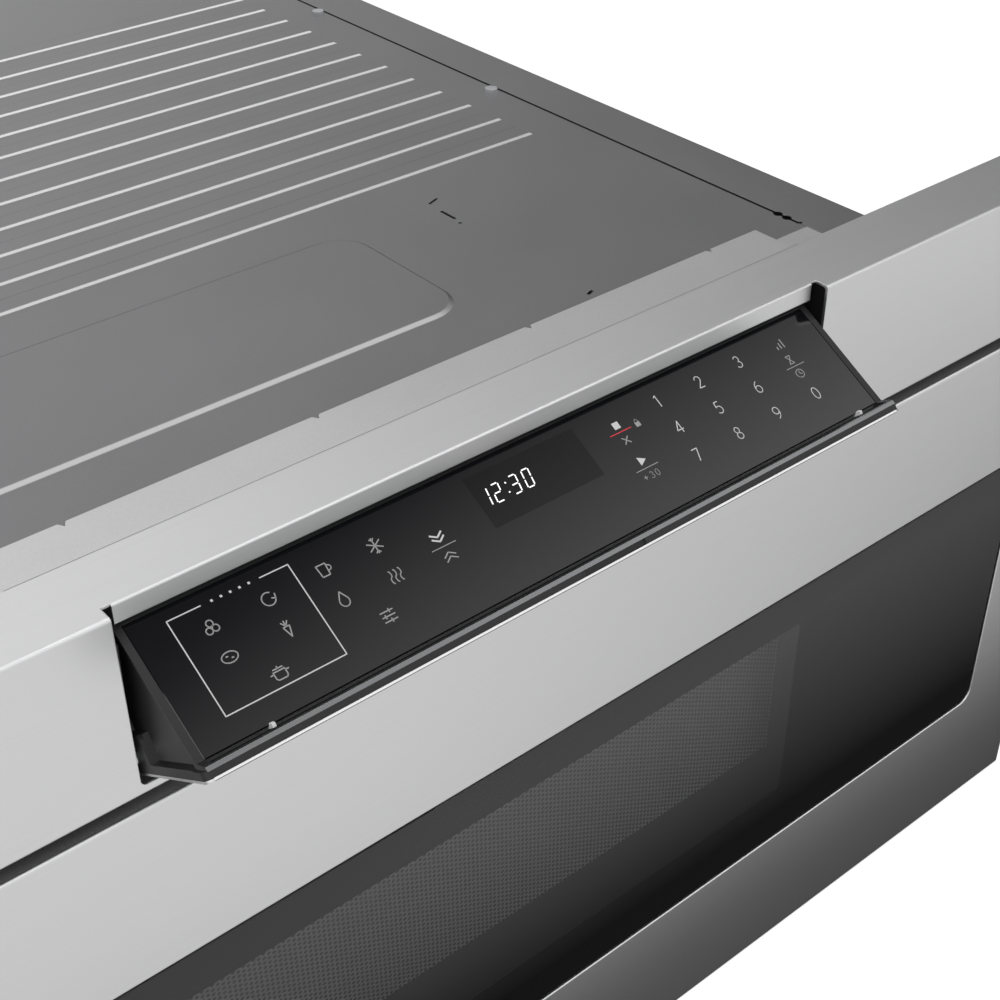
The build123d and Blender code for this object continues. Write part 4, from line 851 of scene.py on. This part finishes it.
class Icon(Enum):
    """Plain symbols where the real panel names its functions: their lines, in units of their size."""

    CORN = tuple(arc(grain, (0.2, 0.2), 0, 360, 12) for grain in ((-0.2, -0.16), (0.21, -0.12), (0.02, 0.24)))
    REPEAT = (arc((0.0, 0.0), (0.4, 0.4), 55, 350, 18), ((0.18, -0.02), (0.4, -0.1), (0.46, 0.16)))
    TUBER = (
        arc((0.0, 0.0), (0.48, 0.32), 0, 360, 20),
        ((-0.2, 0.08), (-0.08, 0.08)),
        ((0.08, -0.08), (0.2, -0.08)),
    )
    CARROT = (
        ((-0.2, 0.16), (0.0, -0.5), (0.2, 0.16), (-0.2, 0.16)),
        ((-0.2, 0.46), (0.0, 0.18), (0.2, 0.46)),
        ((0.0, 0.18), (0.0, 0.52)),
    )
    POT = (
        ((-0.36, 0.12), (-0.36, -0.26), (-0.26, -0.38))
        + ((0.26, -0.38), (0.36, -0.26), (0.36, 0.12), (-0.36, 0.12)),
        ((-0.56, 0.02), (-0.36, 0.02)),
        ((0.36, 0.02), (0.56, 0.02)),
        ((-0.3, 0.27), (0.3, 0.27)),
        ((0.0, 0.27), (0.0, 0.4)),
    )
    MUG = (
        ((-0.38, 0.34), (-0.32, -0.4), (0.16, -0.4), (0.22, 0.34), (-0.38, 0.34)),
        arc((0.2, 0.02), (0.24, 0.18), 88, -88, 8),
    )
    FLAKE = (
        ((0.0, 0.5), (0.0, -0.5)),
        ((-0.43, 0.25), (0.43, -0.25)),
        ((-0.43, -0.25), (0.43, 0.25)),
        ((-0.14, 0.46), (0.0, 0.32), (0.14, 0.46)),
        ((-0.14, -0.46), (0.0, -0.32), (0.14, -0.46)),
    )
    DROP = (((0.0, 0.5),) + arc((0.0, -0.14), (0.3, 0.32), 150, 390, 16) + ((0.0, 0.5),),)
    WARMTH = tuple(
        arc((x, 0.2), (0.09, 0.2), 90, -90, 6) + arc((x, -0.2), (0.09, 0.2), 90, 270, 6)
        for x in (-0.32, 0.0, 0.32)
    )
    SLIDERS = tuple(((-0.42, y), (0.42, y)) for y in (0.3, 0.0, -0.3)) + tuple(
        ((x, y + 0.12), (x, y - 0.12)) for x, y in ((0.18, 0.3), (-0.2, 0.0), (0.06, -0.3))
    )
    OUTWARD = (((-0.5, 0.42), (0.0, 0.1), (0.5, 0.42)), ((-0.5, 0.06), (0.0, -0.26), (0.5, 0.06)))
    INWARD = (((-0.5, -0.42), (0.0, -0.1), (0.5, -0.42)), ((-0.5, -0.06), (0.0, 0.26), (0.5, -0.06)))
    SQUARE = (oblong((-0.42, -0.42), (0.42, 0.42)),)
    CROSS = (((-0.4, -0.4), (0.4, 0.4)), ((-0.4, 0.4), (0.4, -0.4)))
    TRIANGLE = (((-0.36, -0.48), (0.5, 0.0), (-0.36, 0.48)),)
    STEPS = tuple(((x, -0.45), (x, -0.45 + rise)) for x, rise in ((-0.4, 0.3), (0.0, 0.6), (0.4, 0.9)))
    HOURGLASS = (((-0.32, 0.48), (0.32, 0.48), (-0.32, -0.48), (0.32, -0.48), (-0.32, 0.48)),)
    DIAL = (arc((0.0, 0.0), (0.46, 0.46), 0, 360, 20), ((0.0, 0.3), (0.0, 0.0), (0.22, -0.1)))
    PLUS = (((-0.4, 0.0), (0.4, 0.0)), ((0.0, -0.4), (0.0, 0.4)))


def bar(start: Point, end: Point, width: float, reach: float = 0.0) -> Path:
    """Outline of a straight bar.

    Args:
        start: First end of its centre line.
        end: Second end.
        width: Width of the bar.
        reach: How far it runs past each end.

    Returns:
        Its four corners.
    """
    along = Vector((end[0] - start[0], end[1] - start[1])).normalized()
    side = Vector((-along.y, along.x)) * width / 2
    first, last = Vector(start) - along * reach, Vector(end) + along * reach
    return tuple(map(tuple, (first - side, last - side, last + side, first + side)))


def line(points: Path, pen: float) -> list[Path]:
    """Returns the bars that draw an open line, each a little longer than its segment."""
    return [bar(a, b, pen, pen * 0.22) for a, b in zip(points, points[1:])]


def scaled(paths: tuple[Path, ...], origin: Point, size: float) -> list[Path]:
    """Returns the lines of a digit or symbol at their size, with their own zero at an origin."""
    return [tuple((origin[0] + x * size, origin[1] + y * size) for x, y in path) for path in paths]


def digit(text: str, centre: Point, height: float, pen: float) -> list[Path]:
    """Returns the bars of one printed digit, placed by its middle."""
    origin = (centre[0] - 0.3 * height, centre[1] - 0.5 * height)
    return [plate for path in scaled(DIGITS[text], origin, height) for plate in line(path, pen)]


@dataclass(frozen=True)
class Mark:
    """One symbol: its place across (x) and up (s) the glass, its size and its pen, or 0 if it is filled."""

    icon: Icon
    x: float
    s: float
    size: float = 5.8
    pen: float = 0.42
    bold: bool = False

    def plates(self) -> list[Path]:
        """Returns its outlines."""
        paths = scaled(self.icon.value, (self.x, self.s), self.size)
        return [plate for path in paths for plate in line(path, self.pen)] if self.pen else paths


@dataclass(frozen=True)
class Clock:
    """The lit seven-segment clock: leaning digits and two dots, in a dark window."""

    digits: tuple[str, ...] = ("bc", "abged", "abgcd", "abcdef")
    lefts: tuple[float, ...] = (-22.1, -16.9, -9.0, -3.2)
    high: float = 6.9
    wide: float = 3.0
    slant: float = 0.19
    foot: float = 33.4
    pen: float = 0.46
    cut: float = 0.3
    dot: float = 0.56
    dots: Path = ((-10.6, 35.1), (-9.9, 38.8))
    window: Path = oblong((-23.5, 25.5), (26.5, 46.5))

    def bars(self) -> list[Path]:
        """Returns the outlines of the lit segments and the dots."""
        high, wide, half = self.high, self.wide, self.high / 2
        segments = {
            "a": ((0, high), (wide, high)),
            "b": ((wide, high), (wide, half)),
            "c": ((wide, half), (wide, 0)),
            "d": ((0, 0), (wide, 0)),
            "e": ((0, half), (0, 0)),
            "f": ((0, high), (0, half)),
            "g": ((0, half), (wide, half)),
        }
        bars: list[Path] = []
        for letters, left in zip(self.digits, self.lefts):
            for letter in letters:
                ends = [(left + x + self.slant * rise, self.foot + rise) for x, rise in segments[letter]]
                bars.append(bar(*ends, self.pen, -self.cut))
        return bars + [bar((x - self.dot / 2, s), (x + self.dot / 2, s), self.dot) for x, s in self.dots]


@dataclass
class TouchPrint:
    """The print and the lit clock, placed across (x) and up (s) the touch glass."""

    workshop: Workshop
    place: PanelPlace
    glass_low: Point = (-1.0, 49.1)
    glass_high: Point = (42.9, 27.0)
    shift: float = -1.88
    thickness: float = 0.06
    pen: float = 0.38
    fine_pen: float = 0.28
    height: float = 5.0
    fine_height: float = 2.6
    keys: tuple[tuple[str, Point], ...] = (
        *(("1", (66.0, 41.6)), ("2", (87.3, 41.4)), ("3", (109.0, 41.9))),
        *(("4", (66.4, 29.0)), ("5", (87.3, 28.9)), ("6", (109.1, 29.3))),
        *(("7", (65.6, 16.3)), ("8", (87.5, 16.5)), ("9", (108.8, 16.7)), ("0", (130.8, 16.7))),
    )
    fine_digits: tuple[tuple[str, Point], ...] = (("3", (43.4, 17.4)), ("0", (46.0, 17.4)))
    marks: tuple[Mark, ...] = (
        Mark(Icon.CORN, -128.6, 38.0),
        Mark(Icon.REPEAT, -107.5, 38.2),
        Mark(Icon.TUBER, -128.7, 26.8),
        Mark(Icon.CARROT, -107.6, 26.6),
        Mark(Icon.POT, -117.7, 15.2),
        Mark(Icon.MUG, -85.7, 39.0),
        Mark(Icon.FLAKE, -65.7, 38.8),
        Mark(Icon.DROP, -85.9, 27.2),
        Mark(Icon.WARMTH, -65.4, 26.4),
        Mark(Icon.SLIDERS, -75.8, 15.4),
        Mark(Icon.OUTWARD, -44.5, 31.4, 4.8, 0.62, True),
        Mark(Icon.INWARD, -44.4, 24.4, 4.6),
        Mark(Icon.SQUARE, 43.5, 40.0, 3.4, 0.0, True),
        Mark(Icon.CROSS, 43.4, 33.3, 3.4, 0.44),
        Mark(Icon.TRIANGLE, 43.4, 23.9, 3.8, 0.0, True),
        Mark(Icon.PLUS, 40.3, 17.4, 1.8, 0.3),
        Mark(Icon.STEPS, 131.4, 41.0, 4.2, 0.5),
        Mark(Icon.HOURGLASS, 130.9, 33.4, 3.8, 0.34),
        Mark(Icon.DIAL, 130.8, 26.7, 4.0, 0.34),
    )
    # First x, last x and s of each rule.
    rules: tuple[Place, ...] = ((-49.4, -39.4, 28.1), (38.2, 48.8, 20.6), (126.4, 136.0, 30.2))
    stop_rule: Path = ((38.4, 37.1), (48.6, 37.1))
    stop_pen: float = 0.34
    frame: Path = ((-139.9, 10.6), (-95.5, 45.9))
    frame_gap: Point = (-127.8, -106.2)
    frame_pen: float = 0.4
    dots_middle: float = -117.0
    dots_pitch: float = 3.4
    dot: float = 0.8
    lock_body: Path = oblong((50.9, 36.0), (53.1, 37.9))
    lock_bow: Path = arc((52.0, 38.0), (0.75, 1.1), 0, 180, 8)
    lock_pen: float = 0.24

    def _piece(self, name: str, outlines: list[Path], finish: Finish, lift: float = 0.02) -> None:
        """Builds thin plates lying on the glass and riding on the control panel.

        Args:
            name: Name of the piece.
            outlines: Outlines in glass coordinates.
            finish: Finish of the piece.
            lift: Gap under the plates.
        """
        low, high = (Vector((0, *self.place.turn(point))) for point in (self.glass_low, self.glass_high))
        slope = (high - low).normalized()
        normal = Vector((1, 0, 0)).cross(slope)
        base = low + slope * self.shift + normal * lift
        build = bmesh.new()
        for outline in outlines:
            corners = [base + Vector((x, 0, 0)) + slope * s for x, s in outline]
            extrude(build, corners, normal * self.thickness)
        piece = self.workshop.piece(name, build, finish)
        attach(piece, "control_panel")

    def _frame(self) -> list[Path]:
        """Returns the frame round the first five symbols, with a row of dots in its open top."""
        (left, low), (right, top) = self.frame
        start, end = self.frame_gap
        path = ((start, top), (left, top), (left, low), (right, low), (right, top), (end, top))
        middles = [self.dots_middle + self.dots_pitch * step for step in range(-2, 3)]
        dots = [bar((x - self.dot / 2, top), (x + self.dot / 2, top), self.dot) for x in middles]
        return line(path, self.frame_pen) + dots

    def build(self) -> None:
        """Builds all print."""
        self._piece("sensor_frame", self._frame(), PRINT)
        keys: list[Path] = []
        for text, centre in self.keys:
            keys += digit(text, centre, self.height, self.pen)
        self._piece("key_digits", keys, PRINT)
        strong: list[Path] = []
        faint: list[Path] = []
        for mark in self.marks:
            (strong if mark.bold else faint).extend(mark.plates())
        for text, centre in self.fine_digits:
            faint += digit(text, centre, self.fine_height, self.fine_pen)
        for left, right, s in self.rules:
            faint += line(((left, s), (right, s)), self.fine_pen)
        self._piece("symbols_strong", strong, PRINT)
        self._piece("symbols", faint, DIM_PRINT)
        self._piece("stop_rule", line(self.stop_rule, self.stop_pen), RED_PRINT)
        self._piece("lock_symbol", [self.lock_body, *line(self.lock_bow, self.lock_pen)], DIM_PRINT)
        clock = Clock()
        self._piece("clock_segments", clock.bars(), CLOCK, 0.03)
        self._piece("display_window", [clock.window], DISPLAY, 0.0)


@dataclass(frozen=True)
class Lamp:
    """A soft square lamp: its place and side in metres, its power in watts and the point it faces."""

    name: str
    at: Place
    size: float
    power: float
    aim: Place = (0, 0.1, 0.2)

    def build(self) -> None:
        """Adds the lamp."""
        data = bpy.data.lights.new(self.name, "AREA")
        data.size = self.size
        data.energy = self.power
        lamp = new_object(self.name, data)
        lamp.location = self.at
        lamp.rotation_euler = (Vector(self.aim) - Vector(self.at)).to_track_quat("-Z", "Y").to_euler()


@dataclass
class Studio:
    """Camera, floor, lamps and surroundings. What reflections see has levels of its own.

    Lengths are in metres, except the camera's place and the floor's height. The floor's ramps run over X and
    Y, and the others over parts of a direction.
    """

    floor_z: float
    camera_at: Place = (-308.0, -391.3, 694.2)
    camera_right: Place = (0.7672, -0.6414, -0.0048)
    camera_up: Place = (0.3752, 0.4427, 0.8144)
    camera_back: Place = (-0.5202, -0.6266, 0.5803)
    lens: float = 58.98
    sensor: float = 36.0
    clip: Point = (0.01, 50.0)
    floor_half: float = 9.0
    floor_tone: float = 0.85
    floor_rough: float = 0.9
    floor_glow: float = 0.5
    # Ramps of the painted shadow that reflections see on the floor.
    floor_reflected_shadow: Ramp = (-0.20, -0.09, 1.0, 0.09)
    floor_shade_side: Ramp = (0.10, 0.75, 0.0, 0.5)
    floor_shade_reach: Ramp = (-0.44, -0.33, 0.0, 1.0)
    fill: float = 0.55
    aside: Ramp = (0.1, 0.27, 0.0, 1.0)
    rear: Ramp = (0.25, 0.80, 1.1, 0.08)
    roof: Ramp = (0.299, 0.455, 0.08, 1.8)
    roof_slant: float = 0.343
    roof_rise: Ramp = (0.55, 0.64, 0.0, 1.0)
    roof_front: Ramp = (-0.04, -0.11, 0.0, 1.0)
    strip: float = 2.4
    strip_rise: Ramp = (0.70, 0.78, 0.0, 1.0)
    strip_start: Ramp = (0.02, 0.08, 0.0, 1.0)
    strip_end: Ramp = (0.30, 0.40, 1.0, 0.0)
    lamps: tuple[Lamp, ...] = (
        Lamp("key", (-1.6, -1.2, 2.4), 1.4, 22.0),
        Lamp("fill", (1.8, -1.6, 1.4), 1.6, 8.0),
    )

    def _camera(self) -> None:
        """Places the camera where the photograph was taken from."""
        data = bpy.data.cameras.new("camera")
        data.lens = self.lens
        data.sensor_width = self.sensor
        data.clip_start, data.clip_end = self.clip
        camera = new_object("camera", data)
        turn = Matrix((self.camera_right, self.camera_up, self.camera_back)).transposed().to_4x4()
        camera.matrix_world = Matrix.Translation(Vector(self.camera_at) * MM) @ turn
        bpy.context.scene.camera = camera

    def _floor_look(self) -> bpy.types.Material:
        """Returns the floor's material: glowing to the camera, with its own brightness in reflections, which
        carries a painted shadow near the drawer.
        """
        material, graph = new_material("pale_floor")
        path = graph.node("LightPath").outputs
        seen = graph.math("MAXIMUM", path["Is Camera Ray"], path["Is Transmission Ray"])
        shader = graph.tree.nodes["Principled BSDF"]
        look = {
            "Base Color": grey(self.floor_tone),
            "Roughness": self.floor_rough,
            "Specular IOR Level": 0.0,
            "Emission Color": grey(1.0),
            "Emission Strength": graph.times(seen, self.floor_glow),
        }
        graph.feed(shader, look)
        # Painted shadow that only reflections see: darker close to the drawer's front, and more so towards its
        # right.
        x, y, _ = graph.split(graph.place())
        drop = graph.times(graph.ramp(x, self.floor_shade_side), graph.ramp(y, self.floor_shade_reach))
        level = graph.times(graph.ramp(y, self.floor_reflected_shadow), graph.minus(1.0, drop))
        mirrored = graph.node("Emission", {"Strength": level})
        inputs = {0: path["Is Glossy Ray"], 1: shader.outputs[0], 2: mirrored.outputs[0]}
        choose = graph.node("MixShader", inputs)
        graph.feed(graph.tree.nodes["Material Output"], {"Surface": choose.outputs[0]})
        return material

    def _floor(self) -> None:
        """Builds the pale floor. Reflections see it darker close to the drawer's front and towards its right:
        a painted shadow.
        """
        mesh = bpy.data.meshes.new("floor")
        half = self.floor_half
        corners = [(x, y, self.floor_z * MM) for x, y in oblong((-half, -half), (half, half))]
        mesh.from_pydata(corners, [], [(0, 1, 2, 3)])
        floor = new_object("floor", mesh)
        floor.data.materials.append(self._floor_look())
        floor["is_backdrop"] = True

    def _mirrored(self, graph: Graph) -> Socket:
        """Returns what reflections see of the surroundings: a dark side, a bright roof and a light strip."""
        x, y, z = graph.split(graph.place("Generated"))
        aside = graph.ramp(x, self.aside)
        in_roof = graph.times(graph.ramp(z, self.roof_rise), aside, graph.ramp(y, self.roof_front))
        roof = graph.ramp(graph.minus(graph.times(x, self.roof_slant), y), self.roof)
        blend = graph.node("Mix")
        blend.data_type = "FLOAT"
        graph.feed(blend, {0: in_roof, 2: graph.ramp(x, self.rear), 3: roof})
        wide = graph.times(graph.ramp(y, self.strip_start), graph.ramp(y, self.strip_end))
        strip = graph.times(graph.ramp(z, self.strip_rise), aside, wide)
        return graph.plus(blend.outputs[0], graph.times(strip, self.strip))

    def _world(self) -> None:
        """White surroundings to the eye, softer as lighting, and another level in reflections."""
        world = bpy.data.worlds.new("surroundings")
        bpy.context.scene.world = world
        world.use_nodes = True
        graph = Graph(world.node_tree)
        path = graph.node("LightPath").outputs
        eye = graph.math("MAXIMUM", path["Is Camera Ray"], path["Is Transmission Ray"])
        gloss = graph.times(path["Is Glossy Ray"], self._mirrored(graph))
        seen = graph.math("MAXIMUM", eye, path["Is Glossy Ray"])
        fill = graph.times(graph.minus(1.0, seen), self.fill)
        strength = graph.plus(graph.plus(eye, gloss), fill)
        graph.feed(graph.tree.nodes["Background"], {"Color": grey(1.0), "Strength": strength})

    def build(self) -> None:
        """Builds the whole studio."""
        self._camera()
        self._floor()
        self._world()
        for lamp in self.lamps:
            lamp.build()
        LOG.info("studio with %d lamps", len(self.lamps))


def main() -> None:
    """Builds the looks in order."""
    logging.basicConfig(level=logging.INFO, format="%(message)s")
    bpy.ops.wm.read_factory_settings(use_empty=True)
    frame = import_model()
    bpy.context.scene.view_settings.view_transform = "Standard"
    workshop = Workshop()
    place = PanelPlace.from_joints(frame["joints"])
    Studio(floor_z=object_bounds()[0].z / MM).build()
    Cabinetwork(frame["nodes"]).dress(workshop)
    PanelTrim(workshop, place).build()
    SheetSeams.from_nodes(workshop).build()
    TouchPrint(workshop, place).build()


if __name__ == "__main__":
    main()
